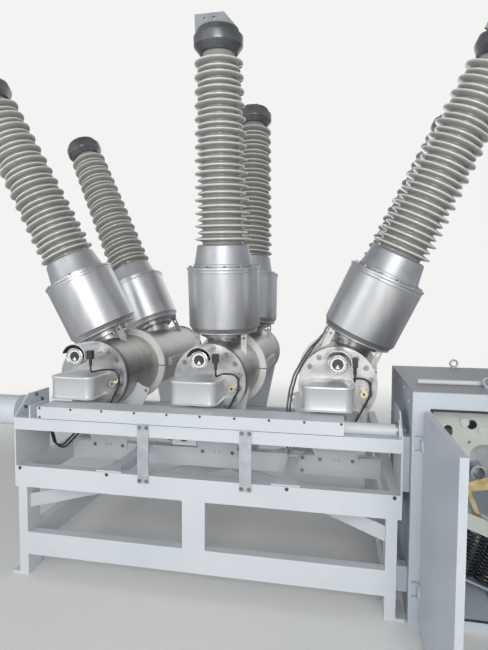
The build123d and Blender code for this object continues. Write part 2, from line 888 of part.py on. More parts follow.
# Pair of cables from the right front transformer housing to the gusset on the support beam
cable_place = front_bushings[2]
cable_routes = []
for aside, shift in ((0, (0, 0, 0)), (-cable_apart, (-1.7 * route_step, -1.3 * route_step, 0))):
    socket = (cable_place * Location((-cable_reach, aside, ct_base - cable_gland_length))).position
    below = (cable_place * Location((-cable_reach, aside, ct_base - 3 * cable_gland_length))).position
    way = route((pole_pitch, cradle_y, tank_axis_z),
                [(-15.3, 8.7, 18.5), (-20.2, -1.3, 10.8), (-24.4, -2.5, 2.9), (-27.1, -2.5, -7.2),
                 (-28.5, -2.5, -18), (-28.8, 3.7, -32.5)], shift)
    cable_end = (way[-1][0], way[-1][1], rail_top + steel + gland_length)
    cable_routes.append([tuple(socket), tuple(below)] + way + [cable_end])
with BuildPart() as transformer_cables:
    for cable_route in cable_routes:
        add(lead(cable_route, bends([4.5, 15, 8, 12, 20, 15, 15]), cable_r))
transformer_cables.part.label = "transformer_cables"

# Control cables that hang between the left side plate and the left cradle
control_start = (steel - half_width, front + control_setback, frame_base + control_rise)
control_routes = []
for shift in ((0, 0, 0), (0, 2.6 * route_step, -2.2 * route_step)):
    way = route(control_start, [(2.5, 0, 0), (4.7, 0, 0), (6.6, 0.8, -9), (10.8, 3, -11.5), (15.8, 8, -5),
                                (18.8, 15, 0)], shift)
    control_routes.append(way + [(way[-1][0], cradle_y - gland_length, way[-1][2])])
with BuildPart() as control_cables:
    for control_route in control_routes:
        add(lead(control_route, bends([2.6, 4.2, 3.6, 7.5, 6]), cable_r))
control_cables.part.label = "control_cables"

# Glands that the leads and cables end in
with BuildPart() as cable_glands:
    for pole_x, lean in pole_places:
        add(rod_along_y(pole_x + lead_end_x, lead_low, gland_r, cradle_y - gland_length, cradle_y))
    for cable_route in cable_routes:
        aim = Plane(origin=cable_route[0], z_dir=Vector(*cable_route[0]) - Vector(*cable_route[1]))
        with Locations(aim.location):
            Cylinder(cable_gland_r, cable_gland_length, align=(Align.CENTER, Align.CENTER, Align.MIN))
        with Locations((cable_route[-1][0], cable_route[-1][1], rail_top + steel)):
            Cylinder(cable_gland_r, gland_length, align=(Align.CENTER, Align.CENTER, Align.MIN))
    for control_route in control_routes:
        with Locations(Location((steel - half_width, control_route[0][1], control_route[0][2]), (0, 90, 0))):
            Cylinder(cable_gland_r, gland_length, align=(Align.CENTER, Align.CENTER, Align.MIN))
        add(rod_along_y(control_route[-1][0], control_route[-1][2], cable_gland_r,
                        cradle_y - gland_length, cradle_y))
cable_glands.part.label = "cable_glands"

# Slotted cable trays along the right side of the tanks, open towards the tank
tray_y = front + tray_setback
with BuildPart() as side_trays:
    for pole_x, lean in pole_places:
        tray_left = pole_x + tank_r + seat_gap
        tray_right = tray_left + tray_thick
        add(block((tray_left, tray_right), (tray_y, tray_y + tray_length),
                  (tank_axis_z - tray_height / 2, tank_axis_z + tray_height / 2)))
        add(block((tray_left, tray_right - tray_sheet),
                  (tray_y + tray_sheet, tray_y + tray_length - tray_sheet),
                  (tank_axis_z + tray_sheet - tray_height / 2, tank_axis_z - tray_sheet + tray_height / 2)),
            mode=Mode.SUBTRACT)
        with BuildSketch(Plane.YZ.offset(tray_right - tray_sheet)):
            with Locations((tray_y + tray_length / 2, tank_axis_z)):
                with GridLocations(tray_slot_pitch, tray_height / 2, tray_slots, 2):
                    Rectangle(tray_slot_width, tray_slot_height)
        extrude(amount=tray_sheet, mode=Mode.SUBTRACT)
side_trays.part.label = "side_trays"

# Cabinet walls
cabinet_back_y = front + cabinet_depth
wall_top = cabinet_height - cabinet_sheet
with BuildPart() as cabinet_walls:
    for wall_x in (cabinet_left, cabinet_right - cabinet_sheet):
        add(block((wall_x, wall_x + cabinet_sheet), (front, cabinet_back_y), (0, wall_top)))
cabinet_walls.part.label = "cabinet_walls"

# Cabinet back and floor
inner_left = cabinet_left + cabinet_sheet
inner_right = cabinet_right - cabinet_sheet
with BuildPart() as cabinet_back:
    add(block((inner_left, inner_right), (cabinet_back_y - cabinet_sheet, cabinet_back_y), (0, wall_top)))
cabinet_back.part.label = "cabinet_back"
with BuildPart() as cabinet_floor:
    add(block((inner_left, inner_right), (front + return_depth, cabinet_back_y - cabinet_sheet),
              (sill_height - cabinet_sheet, sill_height)))
cabinet_floor.part.label = "cabinet_floor"

# Front frame round the doorway, with an edge folded inwards
door_way_width = cabinet_width - 2 * stile_width
door_way_height = cabinet_height - header_height - sill_height
door_mid_x = (cabinet_left + cabinet_right) / 2
door_mid_z = sill_height + door_way_height / 2
with BuildPart() as front_frame:
    with BuildSketch(Plane.XZ.offset(-front)):
        with BuildLine():
            Polyline((inner_left, 0), (inner_right, 0), (inner_right, wall_top), (inner_left, wall_top),
                     close=True)
        make_face()
        with Locations((door_mid_x, door_mid_z)):
            Rectangle(door_way_width, door_way_height, mode=Mode.SUBTRACT)
    extrude(amount=-cabinet_sheet)
    with BuildSketch(Plane.XZ.offset(-front)):
        with Locations((door_mid_x, door_mid_z)):
            Rectangle(door_way_width + 2 * cabinet_sheet, door_way_height + 2 * cabinet_sheet)
            Rectangle(door_way_width, door_way_height, mode=Mode.SUBTRACT)
    extrude(amount=-return_depth)
front_frame.part.label = "front_frame"

# Rubber seal round the doorway
with BuildPart() as door_seal:
    with BuildSketch(Plane.XZ.offset(-front)):
        with Locations((door_mid_x, door_mid_z)):
            Rectangle(door_way_width + 2 * seal_width, door_way_height + 2 * seal_width)
            Rectangle(door_way_width, door_way_height, mode=Mode.SUBTRACT)
    extrude(amount=seal_thick)
door_seal.part.label = "door_seal"

# Roof sheet
with BuildPart() as cabinet_roof:
    add(block((cabinet_left, cabinet_right), (front, cabinet_back_y), (wall_top, cabinet_height)))
cabinet_roof.part.label = "cabinet_roof"

# Lifting eyes on the roof
cabinet_mid = (cabinet_left + cabinet_right) / 2
with BuildPart() as lifting_eyes:
    for eye_y in (front + eye_y_front, front + eye_y_back):
        with BuildSketch(Plane.XY.offset(cabinet_height)):
            with Locations((cabinet_mid, eye_y)):
                Circle(eye_r - eye_wire_r)
        extrude(amount=eye_wire_r)
        with Locations(Location((cabinet_mid, eye_y, cabinet_height + eye_wire_r + eye_r), (90, 0, 0))):
            Torus(eye_r, eye_wire_r)
lifting_eyes.part.label = "lifting_eyes"

# Round bar that lies on the roof
with BuildPart() as roof_bar:
    with BuildSketch(Plane.YZ.offset(cabinet_mid - bar_length)):
        with Locations((front + bar_setback, cabinet_height + bar_r)):
            Circle(bar_r)
    extrude(amount=bar_length)
roof_bar.part.label = "roof_bar"

# Brackets between the stand and the cabinet
with BuildPart() as cabinet_brackets:
    for bracket_y in (front + bracket_width, front + side_plate_depth - 2 * bracket_width):
        add(block((half_width, cabinet_left), (bracket_y, bracket_y + bracket_width), (rail_top, frame_top)))
    add(block((leg_outer, cabinet_left), (front + leg_depth - bracket_width, front + leg_depth),
              (lower_beam_base, lower_beam_base + lower_beam_height)))
cabinet_brackets.part.label = "cabinet_brackets"

# Hinge pins and their ears on the left stile
pin_x = cabinet_left + stile_width / 2
pin_y = front - door_standoff - door_thick
hinge_heights = (door_base + hinge_inset, door_base + door_height - hinge_inset)
with BuildPart() as door_hinges:
    for middle in hinge_heights:
        reach = hinge_sleeve_length / 2 + hinge_gap
        add(block((pin_x - hinge_leaf, pin_x - hinge_sleeve_r - hinge_gap), (front - door_standoff, front),
                  (middle - reach - hinge_ear, middle + reach + hinge_ear)))
        for low in (middle - reach - hinge_ear, middle + reach):
            ear_back = front - door_standoff
            add(block((pin_x - hinge_leaf, pin_x), (ear_back - door_thick / 2, ear_back),
                      (low, low + hinge_ear)))
            add(block((pin_x - hinge_sleeve_r, pin_x + hinge_pin_r), (pin_y - hinge_pin_r, ear_back),
                      (low, low + hinge_ear)))
        with Locations((pin_x, pin_y, middle)):
            Cylinder(hinge_pin_r, 2 * (reach + hinge_ear))
door_hinges.part.label = "door_hinges"

# Door leaf, folded from sheet, standing open at a right angle to the cabinet's front
leaf_near = pin_y - leaf_gap
with BuildPart() as cabinet_door:
    leaf_far = leaf_near - door_width
    door_top = door_base + door_height
    add(block((pin_x, pin_x + door_thick), (leaf_far, leaf_near), (door_base, door_top)))
    add(block((pin_x + door_sheet, pin_x + door_thick), (leaf_far + door_sheet, leaf_near - door_sheet),
              (door_base + door_sheet, door_top - door_sheet)), mode=Mode.SUBTRACT)
    for middle in hinge_heights:
        with Locations((pin_x, pin_y, middle)):
            Cylinder(hinge_sleeve_r, hinge_sleeve_length)
        add(block((pin_x, pin_x + door_sheet), (leaf_near - door_sheet, pin_y),
                  (middle - hinge_sleeve_length / 2, middle + hinge_sleeve_length / 2)))
        with Locations((pin_x, pin_y, middle)):
            Cylinder(hinge_pin_r + hinge_running_gap, 2 * hinge_sleeve_length, mode=Mode.SUBTRACT)
cabinet_door.part.label = "cabinet_door"

# Drive mechanism: a front plate with its cut-outs
mech_y = front + mech_setback
mech_top = cabinet_height - mech_top_gap
mech_base = mech_top - mech_height
arch_x = inner_left + mech_arch_left
ports = [(oval_port_x, oval_port_drop, oval_port_r, oval_port_rise),
         (mech_port_x, mech_port_drop, mech_port_r, mech_port_r),
         (pin_port_x, pin_port_drop, pin_port_r, pin_port_r)]
with BuildPart() as mechanism_plate:
    with BuildSketch(Plane.XZ.offset(-mech_y)):
        with BuildLine():
            Polyline((inner_left, mech_base), (inner_right, mech_base), (inner_right, mech_top),
                     (inner_left, mech_top), close=True)
        make_face()
        with Locations((arch_x + mech_arch_width / 2, mech_base)):
            Rectangle(mech_arch_width, mech_arch_height, align=(Align.CENTER, Align.MIN), mode=Mode.SUBTRACT)
        corners = vertices().filter_by(lambda v: abs(v.Y - mech_base - mech_arch_height) < 1)
        fillet(corners, mech_arch_r)
        for port_x, port_drop, wide, high in ports:
            with Locations((inner_left + port_x, mech_top - port_drop)):
                Ellipse(wide, high, mode=Mode.SUBTRACT)
    extrude(amount=-mech_plate_thick)
mechanism_plate.part.label = "mechanism_plate"

# Roller and brass disc on the front plate
with BuildPart() as mechanism_rollers:
    for wheel_x, wheel_drop, wheel_r, wheel_thick in ((roller_x, roller_drop, roller_r, roller_thick),
                                                      (disc_x, disc_drop, disc_r, disc_thick)):
        add(rod_along_y(inner_left + wheel_x, mech_top - wheel_drop, wheel_r,
                        mech_y - seat_gap - wheel_thick, mech_y - seat_gap))
mechanism_rollers.part.label = "mechanism_rollers"

# Back plate of the mechanism, held off the front plate by four spacers
back_plate_y = front + back_plate_setback
mech_back_y = mech_y + mech_plate_thick + seat_gap
back_plate_base = mech_base - back_plate_drop
back_plate_top = back_plate_base + back_plate_height
shaft_z = mech_base + shaft_rise
with BuildPart() as mechanism_back:
    add(block((inner_left, inner_right), (back_plate_y, back_plate_y + mech_plate_thick),
              (back_plate_base, back_plate_top)))
    for spacer_x in (inner_left + spacer_inset, inner_right - spacer_inset):
        for spacer_z in (mech_base + spacer_inset, back_plate_top - spacer_inset):
            add(rod_along_y(spacer_x, spacer_z, spacer_r, mech_back_y, back_plate_y))
    add(rod_along_y(inner_left + shaft_x, shaft_z, shaft_r, back_plate_y - shaft_reach, back_plate_y))
    add(rod_along_y(inner_left + shaft_x, shaft_z, shaft_bore_r, back_plate_y - shaft_reach, back_plate_y),
        mode=Mode.SUBTRACT)
mechanism_back.part.label = "mechanism_back"

# Charging lever on its pivot behind the front plate
lever_y = mech_y + mech_plate_thick + lever_gap
lever_z = mech_base + lever_rise
lever_end_z = mech_base - lever_end_drop
with BuildPart() as charging_lever:
    with BuildSketch(Plane.XZ.offset(-lever_y)):
        with Locations((inner_left + lever_x, lever_z)):
            Circle(lever_boss_r)
        with Locations((inner_left + lever_end_x, lever_end_z)):
            Circle(lever_end_r)
        make_hull()
    extrude(amount=-lever_thick)
    add(rod_along_y(inner_left + lever_x, lever_z, spacer_r, mech_back_y, lever_y))
charging_lever.part.label = "charging_lever"

# Closing springs lean on their seat: wire wound in straight lengths, one side after another
lean_sin = math.sin(math.radians(spring_lean))
lean_cos = math.cos(math.radians(spring_lean))
spring_place = Plane(origin=(inner_left + spring_seat_x, front + spring_seat_y, spring_seat_z),
                     x_dir=(lean_cos, 0, -lean_sin), z_dir=(lean_sin, 0, lean_cos)).location
coil_rest = closing_spring_wire_r * math.cos(math.pi / 6)
spring_length = closing_spring_pitch * closing_spring_turns + 2 * coil_rest
coil_points = []
for step in range(round(closing_spring_turns * coil_sides) + 1):
    turn = 2 * math.pi * step / coil_sides
    coil_points.append((closing_spring_r * math.cos(turn), closing_spring_r * math.sin(turn),
                        coil_rest + closing_spring_pitch * step / coil_sides))
with BuildPart() as closing_spring:
    with BuildLine():
        Polyline(*coil_points)
    with BuildSketch(Plane(origin=coil_points[0], z_dir=Vector(*coil_points[1]) - Vector(*coil_points[0]))):
        RegularPolygon(closing_spring_wire_r, 6)
    sweep(transition=Transition.RIGHT)
with BuildPart() as closing_springs:
    with Locations(*[spring_place * Location((spring_x, 0, 0)) for spring_x in
                     (-spring_spacing, 0, spring_spacing)]):
        add(closing_spring.part)
closing_springs.part.label = "closing_springs"

# Crosshead on top of the springs: a channel open upwards, with a pin across it
with BuildPart() as spring_crosshead:
    with Locations(spring_place * Location((0, 0, spring_length + seat_gap))):
        Box(2 * crosshead_half, crosshead_depth, crosshead_height,
            align=(Align.CENTER, Align.CENTER, Align.MIN))
    with Locations(spring_place * Location((0, 0, spring_length + seat_gap + seat_thick))):
        Box(2 * crosshead_half, crosshead_depth - 2 * steel, crosshead_height, mode=Mode.SUBTRACT,
            align=(Align.CENTER, Align.CENTER, Align.MIN))
    pin_place = (spring_place * Location((0, 0, spring_length + crosshead_height / 2))).position
    add(rod_along_y(pin_place.X, pin_place.Z, crosshead_pin_r, pin_place.Y - crosshead_depth / 2,
                    pin_place.Y + crosshead_depth / 2))
spring_crosshead.part.label = "spring_crosshead"

# Seat under the springs, on two posts
with BuildPart() as spring_seat:
    with Locations(spring_place * Location((0, 0, -seat_gap))):
        Box(2 * crosshead_half, crosshead_depth, seat_thick, align=(Align.CENTER, Align.CENTER, Align.MAX))
    for reach in (-crosshead_half + seat_post_width, crosshead_half - 2 * seat_post_width):
        post_x = inner_left + spring_seat_x + reach * lean_cos
        post_top = spring_seat_z - reach * lean_sin - seat_thick / 2
        add(block((post_x, post_x + seat_post_width),
                  (front + spring_seat_y - crosshead_depth / 2, front + spring_seat_y + crosshead_depth / 2),
                  (sill_height, post_top)))
spring_seat.part.label = "spring_seat"

# Pull link between the lever's end and the crosshead's pin
link_y = pin_place.Y - link_thick / 2
with BuildPart() as pull_link:
    with BuildSketch(Plane.XZ.offset(-link_y)):
        with Locations((inner_left + lever_end_x, lever_end_z), (pin_place.X, pin_place.Z)):
            Circle(link_width / 2)
        make_hull()
        with Locations((pin_place.X, pin_place.Z)):
            Circle(crosshead_pin_r + seat_gap, mode=Mode.SUBTRACT)
    extrude(amount=-link_thick)
    add(rod_along_y(inner_left + lever_end_x, lever_end_z, crosshead_pin_r,
                    lever_y + lever_thick + seat_gap, link_y))
pull_link.part.label = "pull_link"

for piece in (stand_legs, lower_beams, mid_posts, plan_braces, cross_rails, top_rail, side_plates,
              side_members, frame_ties, rail_straps, linkage_cover, position_indicator, linkage_stub,
              drive_tube, spring_tube, tanks, end_covers, clamp_rings, tank_cradles, lifting_lugs,
              ct_housings, collars, porcelains, end_caps, terminals, crank_boxes, gauges, gauge_hoods,
              gauge_plugs, fill_valves, gauge_leads, transformer_cables, control_cables, cable_glands,
              side_trays, cabinet_walls, cabinet_back, cabinet_floor, front_frame, door_seal, cabinet_roof,
              lifting_eyes, roof_bar, cabinet_brackets, door_hinges, cabinet_door, mechanism_plate,
              mechanism_rollers, mechanism_back, charging_lever, closing_springs, spring_crosshead,
              spring_seat, pull_link):
    export_step(piece.part, f"parts/{piece.part.label}.step")
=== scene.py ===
# %% [markdown]
# # A gas circuit breaker on its stand
# A circuit breaker of this kind keeps its contacts in three metal tanks full of insulating gas. Six
# porcelain bushings lead the current in and out of the tanks, and a cabinet at one end holds the springs
# that work it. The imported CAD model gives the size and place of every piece. This notebook adds what a
# render needs around it: a camera, plain light, finishes, and fine pieces such as bolts, gaskets and
# dials.

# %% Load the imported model
import math

import bpy
from mathutils import Matrix, Vector


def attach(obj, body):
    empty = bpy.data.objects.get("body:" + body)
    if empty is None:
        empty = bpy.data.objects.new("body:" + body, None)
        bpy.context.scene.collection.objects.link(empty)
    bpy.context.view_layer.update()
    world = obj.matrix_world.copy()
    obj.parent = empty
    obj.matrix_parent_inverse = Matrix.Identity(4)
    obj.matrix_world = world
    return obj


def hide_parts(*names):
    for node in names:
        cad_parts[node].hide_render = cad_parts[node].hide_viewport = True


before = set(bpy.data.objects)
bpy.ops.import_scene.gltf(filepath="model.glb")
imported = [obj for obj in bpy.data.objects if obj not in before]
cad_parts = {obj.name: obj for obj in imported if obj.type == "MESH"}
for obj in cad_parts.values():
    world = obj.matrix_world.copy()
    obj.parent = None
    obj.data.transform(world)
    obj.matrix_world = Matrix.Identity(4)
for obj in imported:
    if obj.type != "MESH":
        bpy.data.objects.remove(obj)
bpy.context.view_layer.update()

# %% [markdown]
# ## Helpers for objects and nodes
# An object shows only once it is linked to the scene, and every shader is a tree of nodes joined by links.
# Both take the same few lines each time, so short helpers hold those lines, and the cells below say only
# what is special about a lamp, a floor or a finish.

# %% Helpers for objects and nodes
def link_object(name, data):
    """Put a new object at the origin of the scene."""
    thing = bpy.data.objects.new(name, data)
    bpy.context.scene.collection.objects.link(thing)
    return thing


def add_node(tree, kind, inputs=None, **settings):
    """New node of a tree: settings are its own properties, and inputs are the values of its sockets."""
    node = tree.nodes.new(kind)
    for label, value in settings.items():
        setattr(node, label, value)
    for label, value in (inputs or {}).items():
        node.inputs[label].default_value = value
    return node


def wire(tree, *links):
    """Each link names a node and its output, then a node and its input."""
    for source, output, target, entry in links:
        tree.links.new(source.outputs[output], target.inputs[entry])


def shader_material(name):
    """New material with its tree and its Principled shader."""
    material = bpy.data.materials.new(name)
    material.use_nodes = True
    return material, material.node_tree, material.node_tree.nodes["Principled BSDF"]


# %% [markdown]
# ## Camera
# A phone's wide camera at eye level, turned eleven degrees to the left and three down. Its local axes are
# written as columns of a matrix: right, up, and backwards. The lens follows from the sharpest straight
# edges of the stand, which meet at the same vanishing points in the picture and in the model.

# %% Camera
CAMERA_PLACE = Vector((0.7481, -3.3365, 1.62))
CAMERA_RIGHT = Vector((0.98141, 0.19194, 0.00486))
CAMERA_DOWN = Vector((0.01555, -0.05420, -0.99842))
CAMERA_AHEAD = Vector((-0.19137, 0.97991, -0.05617))
LENS = 26.54
SENSOR_WIDTH = 36.0

camera_data = bpy.data.cameras.new("camera")
camera_data.lens = LENS
camera_data.sensor_width = SENSOR_WIDTH
camera = link_object("camera", camera_data)
turn = Matrix((CAMERA_RIGHT, -CAMERA_DOWN, -CAMERA_AHEAD)).transposed()
camera.matrix_world = Matrix.Translation(CAMERA_PLACE) @ turn.to_4x4()
bpy.context.scene.camera = camera
bpy.context.scene.view_settings.view_transform = "Standard"
print("camera at", tuple(round(v, 3) for v in CAMERA_PLACE))

# %% [markdown]
# ## Floor
# The floor catches the shadow of the breaker, without which the feet would seem to float. A small plane
# would show its edge, so this one is far wider than the view, and a few metres from the breaker its paint
# fades into the colour of the room. Only rays from the camera meet the fade, so the floor throws up the
# same soft light everywhere.

# %% Floor
ROOM_COLOUR = (0.90, 0.90, 0.89, 1)
FLOOR_COLOUR = (0.86, 0.85, 0.83, 1)
FLOOR_ROUGHNESS = 0.9
FLOOR_HALF = 30.0
FADE_START, FADE_END = 2.2, 6.5

floor_mesh = bpy.data.meshes.new("floor")
floor_corners = [(x * FLOOR_HALF, y * FLOOR_HALF, 0) for x, y in ((-1, -1), (1, -1), (1, 1), (-1, 1))]
floor_mesh.from_pydata(floor_corners, [], [(0, 1, 2, 3)])
floor = link_object("floor", floor_mesh)
floor_paint, floor_tree, floor_shader = shader_material("floor_paint")
floor_shader.inputs["Base Color"].default_value = FLOOR_COLOUR
floor_shader.inputs["Roughness"].default_value = FLOOR_ROUGHNESS
floor_place = add_node(floor_tree, "ShaderNodeTexCoord")
floor_distance = add_node(floor_tree, "ShaderNodeVectorMath", operation="LENGTH")
floor_fade = add_node(floor_tree, "ShaderNodeMapRange", {"From Min": FADE_START, "From Max": FADE_END},
                      interpolation_type="SMOOTHSTEP")
floor_rays = add_node(floor_tree, "ShaderNodeLightPath")
floor_share = add_node(floor_tree, "ShaderNodeMath", operation="MULTIPLY")
far_floor = add_node(floor_tree, "ShaderNodeEmission", {"Color": ROOM_COLOUR})
floor_mix = add_node(floor_tree, "ShaderNodeMixShader")
floor_out = floor_tree.nodes["Material Output"]
wire(floor_tree,
     (floor_place, "Object", floor_distance, 0),
     (floor_distance, "Value", floor_fade, "Value"),
     (floor_fade, "Result", floor_share, 0),
     (floor_rays, "Is Camera Ray", floor_share, 1),
     (floor_share, 0, floor_mix, "Fac"),
     (floor_shader, "BSDF", floor_mix, 1),
     (far_floor, "Emission", floor_mix, 2),
     (floor_mix, "Shader", floor_out, "Surface"))
floor_mesh.materials.append(floor_paint)
print("floor", 2 * FLOOR_HALF, "m wide, fades from", FADE_START, "to", FADE_END, "m")

# %% [markdown]
# ## Room
# The room lights the breaker from all sides and gives the metal something to mirror. A world shader does
# both. Rays that come straight from the camera or through glass meet a plain pale room. Rays that bounce
# off gloss meet a blend of that room and a dimmer sky, because the room alone would wash out the alloy.
# All other rays meet the sky, which is brighter near the horizon than above.

# %% Room
SKY_COLOUR = (0.86, 0.90, 0.96, 1)
HORIZON_LEVEL, ROOF_LEVEL = 0.70, 0.28
SKY_LOW, SKY_HIGH = 0.05, 0.75
GLOSS_SHARE = 0.22

world = bpy.data.worlds.new("room")
world.use_nodes = True
bpy.context.scene.world = world
room = world.node_tree
room.nodes.clear()
room_out = add_node(room, "ShaderNodeOutputWorld")
plain_room = add_node(room, "ShaderNodeBackground", {"Color": ROOM_COLOUR})
soft_sky = add_node(room, "ShaderNodeBackground", {"Color": SKY_COLOUR})
ray_way = add_node(room, "ShaderNodeTexCoord")
ray_split = add_node(room, "ShaderNodeSeparateXYZ")
sky_range = {"From Min": SKY_LOW, "From Max": SKY_HIGH, "To Min": HORIZON_LEVEL, "To Max": ROOF_LEVEL}
sky_fall = add_node(room, "ShaderNodeMapRange", sky_range, interpolation_type="SMOOTHSTEP")
rays = add_node(room, "ShaderNodeLightPath")
straight_or_through = add_node(room, "ShaderNodeMath", operation="MAXIMUM")
glossy_part = add_node(room, "ShaderNodeMath", {1: GLOSS_SHARE}, operation="MULTIPLY")
seen_room = add_node(room, "ShaderNodeMath", operation="MAXIMUM")
mix_room = add_node(room, "ShaderNodeMixShader")
wire(room,
     (ray_way, "Generated", ray_split, "Vector"),
     (ray_split, "Z", sky_fall, "Value"),
     (sky_fall, "Result", soft_sky, "Strength"),
     (rays, "Is Camera Ray", straight_or_through, 0),
     (rays, "Is Transmission Ray", straight_or_through, 1),
     (rays, "Is Glossy Ray", glossy_part, 0),
     (straight_or_through, 0, seen_room, 0),
     (glossy_part, 0, seen_room, 1),
     (seen_room, 0, mix_room, "Fac"),
     (soft_sky, 0, mix_room, 1),
     (plain_room, 0, mix_room, 2),
     (mix_room, 0, room_out, "Surface"))
print("sky falls from", HORIZON_LEVEL, "to", ROOF_LEVEL)

# %% [markdown]
# ## Lamps
# A small lamp would leave a hard spot on each round tank, so the lamps are wide squares. The key stands in
# front of the breaker and a little to its right, the fill lifts its left side, and the back lamp parts the
# porcelain from the background. They stand in one table, where their powers are easy to compare.

# %% Lamps
# name, place, the point it looks at, width, power and colour
LAMPS = (
    ("key", (1.2, -6.8, 3.0), (0, 0, 1.2), 3.2, 240, (1.0, 0.995, 0.985)),
    ("fill", (-4.4, -5.2, 2.4), (-0.2, -0.4, 1.0), 2.6, 55, (0.95, 0.98, 1.0)),
    ("back", (0.5, 5.5, 4.0), (0, 0, 1.3), 4.0, 35, (1.0, 1.0, 1.0)),
)


def area_light(name, place, target, width, power, colour):
    """Soft square lamp that looks at a point."""
    lamp_data = bpy.data.lights.new(name, "AREA")
    lamp_data.shape = "SQUARE"
    lamp_data.size = width
    lamp_data.energy = power
    lamp_data.color = colour
    lamp = link_object(name, lamp_data)
    aim = (Vector(target) - Vector(place)).to_track_quat("-Z", "Y")
    lamp.matrix_world = Matrix.Translation(place) @ aim.to_matrix().to_4x4()


for lamp_row in LAMPS:
    area_light(*lamp_row)
print("lamps", [lamp_row[0] for lamp_row in LAMPS])

# %% [markdown]
# ## Sizes that the notebook shares with the CAD model
# All in metres. Each pole of the breaker stands at its own place along X, and the bushings of the two
# outer poles lean outwards. A bushing's own frame has its origin on the tank's axis and Z along the
# porcelain, so one outline serves all six.

# %% Shared sizes
# place along X and lean in degrees
POLE_PLACES = ((-0.753, -25.0), (0.0, 0.0), (0.753, 25.0))
FRONT = -0.910
TANK_AXIS_Z = 1.125
TANK_FRONT_Y = -0.580
TANK_MID_Y = 0.267
TANK_HALF = TANK_MID_Y - TANK_FRONT_Y
BUSHING_HALF = 0.4225
BUSHING_TILT = math.radians(6)
BREAKER = "breaker"


def bushing_frame(pole_x, lean, side):
    """Matrix of a bushing: side is -1 for the front one and 1 for the back one."""
    roll = math.radians(lean)
    along = Vector((math.cos(BUSHING_TILT) * math.sin(roll), side * math.sin(BUSHING_TILT),
                    math.cos(BUSHING_TILT) * math.cos(roll)))
    across = Vector((math.cos(roll), 0, -math.sin(roll)))
    place = Matrix((across, along.cross(across), along)).transposed().to_4x4()
    place.translation = (pole_x, TANK_MID_Y + side * BUSHING_HALF, TANK_AXIS_Z)
    return place


BUSHINGS = [bushing_frame(x, lean, side) for x, lean in POLE_PLACES for side in (-1, 1)]
print("bushings", len(BUSHINGS))

# %% [markdown]
# ## Finishes
# Every finish starts from the same few steps: a Principled shader, noise on Object coordinates that shifts
# the colour and the roughness a little, and on some a bump for the skin of the material. Photographs of
# each material would do as well, but noise has no seams, suits any size of piece, and is one line to
# change. A helper takes those steps, so that each finish below only says what is special about it.

# %% A helper for finishes
SHADE_LOW, SHADE_HIGH = 0.32, 0.68
NOISE_LOW, NOISE_HIGH = 0.3, 0.7
SKIN_DETAIL = 2.0
SKIN_DEPTH = 0.002


def finish(name, dark, light, roughness, metallic=0.0, grain=6.0, stretch=(1, 1, 1), spread=0.12,
           bump=0.0, bump_scale=250.0, detail=5.0):
    """Material whose colour and roughness wander between two values along a noise pattern."""
    material, tree, shader = shader_material(name)
    shader.inputs["Metallic"].default_value = metallic
    place = add_node(tree, "ShaderNodeTexCoord")
    mapping = add_node(tree, "ShaderNodeMapping", {"Scale": stretch})
    noise = add_node(tree, "ShaderNodeTexNoise", {"Scale": grain, "Detail": detail})
    shades = add_node(tree, "ShaderNodeValToRGB")
    low_shade, high_shade = shades.color_ramp.elements
    low_shade.position, low_shade.color = SHADE_LOW, (*dark, 1)
    high_shade.position, high_shade.color = SHADE_HIGH, (*light, 1)
    rough = add_node(tree, "ShaderNodeMapRange",
                     {"From Min": NOISE_LOW, "From Max": NOISE_HIGH,
                      "To Min": roughness - spread, "To Max": roughness + spread})
    wire(tree,
         (place, "Object", mapping, "Vector"),
         (mapping, "Vector", noise, "Vector"),
         (noise, "Fac", shades, "Fac"),
         (shades, "Color", shader, "Base Color"),
         (noise, "Fac", rough, "Value"),
         (rough, "Result", shader, "Roughness"))
    if bump:
        skin = add_node(tree, "ShaderNodeTexNoise", {"Scale": bump_scale, "Detail": SKIN_DETAIL})
        relief = add_node(tree, "ShaderNodeBump", {"Strength": bump, "Distance": SKIN_DEPTH})
        wire(tree,
             (mapping, "Vector", skin, "Vector"),
             (skin, "Fac", relief, "Height"),
             (relief, "Normal", shader, "Normal"))
    return material


print("colour steps at", SHADE_LOW, "and", SHADE_HIGH, "of the noise")

# %% [markdown]
# ## Enamel, castings and glaze
# The stand and the cabinet wear satin enamel, sprayed on after welding, so the skin shows a faint orange
# peel. The collars are bare castings and the caps are darker ones, with a rougher skin from the sand of
# the mould. The porcelain has a pale warm glaze. A fine bump gives the metal its skin, because real relief
# this fine would need millions of faces.

# %% Enamel, castings and glaze
stand_enamel = finish("stand_enamel", (0.60, 0.635, 0.66), (0.65, 0.68, 0.705), 0.42, grain=2.2, spread=0.06,
                      bump=0.06, bump_scale=420)
cabinet_enamel = finish("cabinet_enamel", (0.50, 0.55, 0.595), (0.56, 0.61, 0.655), 0.38, grain=1.6,
                        spread=0.06, bump=0.05, bump_scale=420)
# painted shade: the roof wears the cabinet's enamel painted darker, for the shade on its top
roof_painted_shade_enamel = finish("roof_painted_shade_enamel", (0.30, 0.31, 0.315), (0.36, 0.37, 0.375), 0.42, grain=1.6, spread=0.06,
                     bump=0.05, bump_scale=420)
cream_enamel = finish("cream_enamel", (0.50, 0.52, 0.48), (0.58, 0.595, 0.555), 0.40, grain=3.0, bump=0.04)
collar_casting = finish("collar_casting", (0.46, 0.47, 0.49), (0.54, 0.55, 0.57), 0.48, metallic=0.88,
                        grain=9, spread=0.06, bump=0.12, bump_scale=190)
cap_casting = finish("cap_casting", (0.14, 0.145, 0.15), (0.22, 0.225, 0.23), 0.34, metallic=0.8, grain=8,
                     bump=0.15, bump_scale=170)
glaze = finish("porcelain_glaze", (0.66, 0.655, 0.63), (0.73, 0.725, 0.70), 0.16, grain=2.5, spread=0.04)
print("finishes", len(bpy.data.materials))

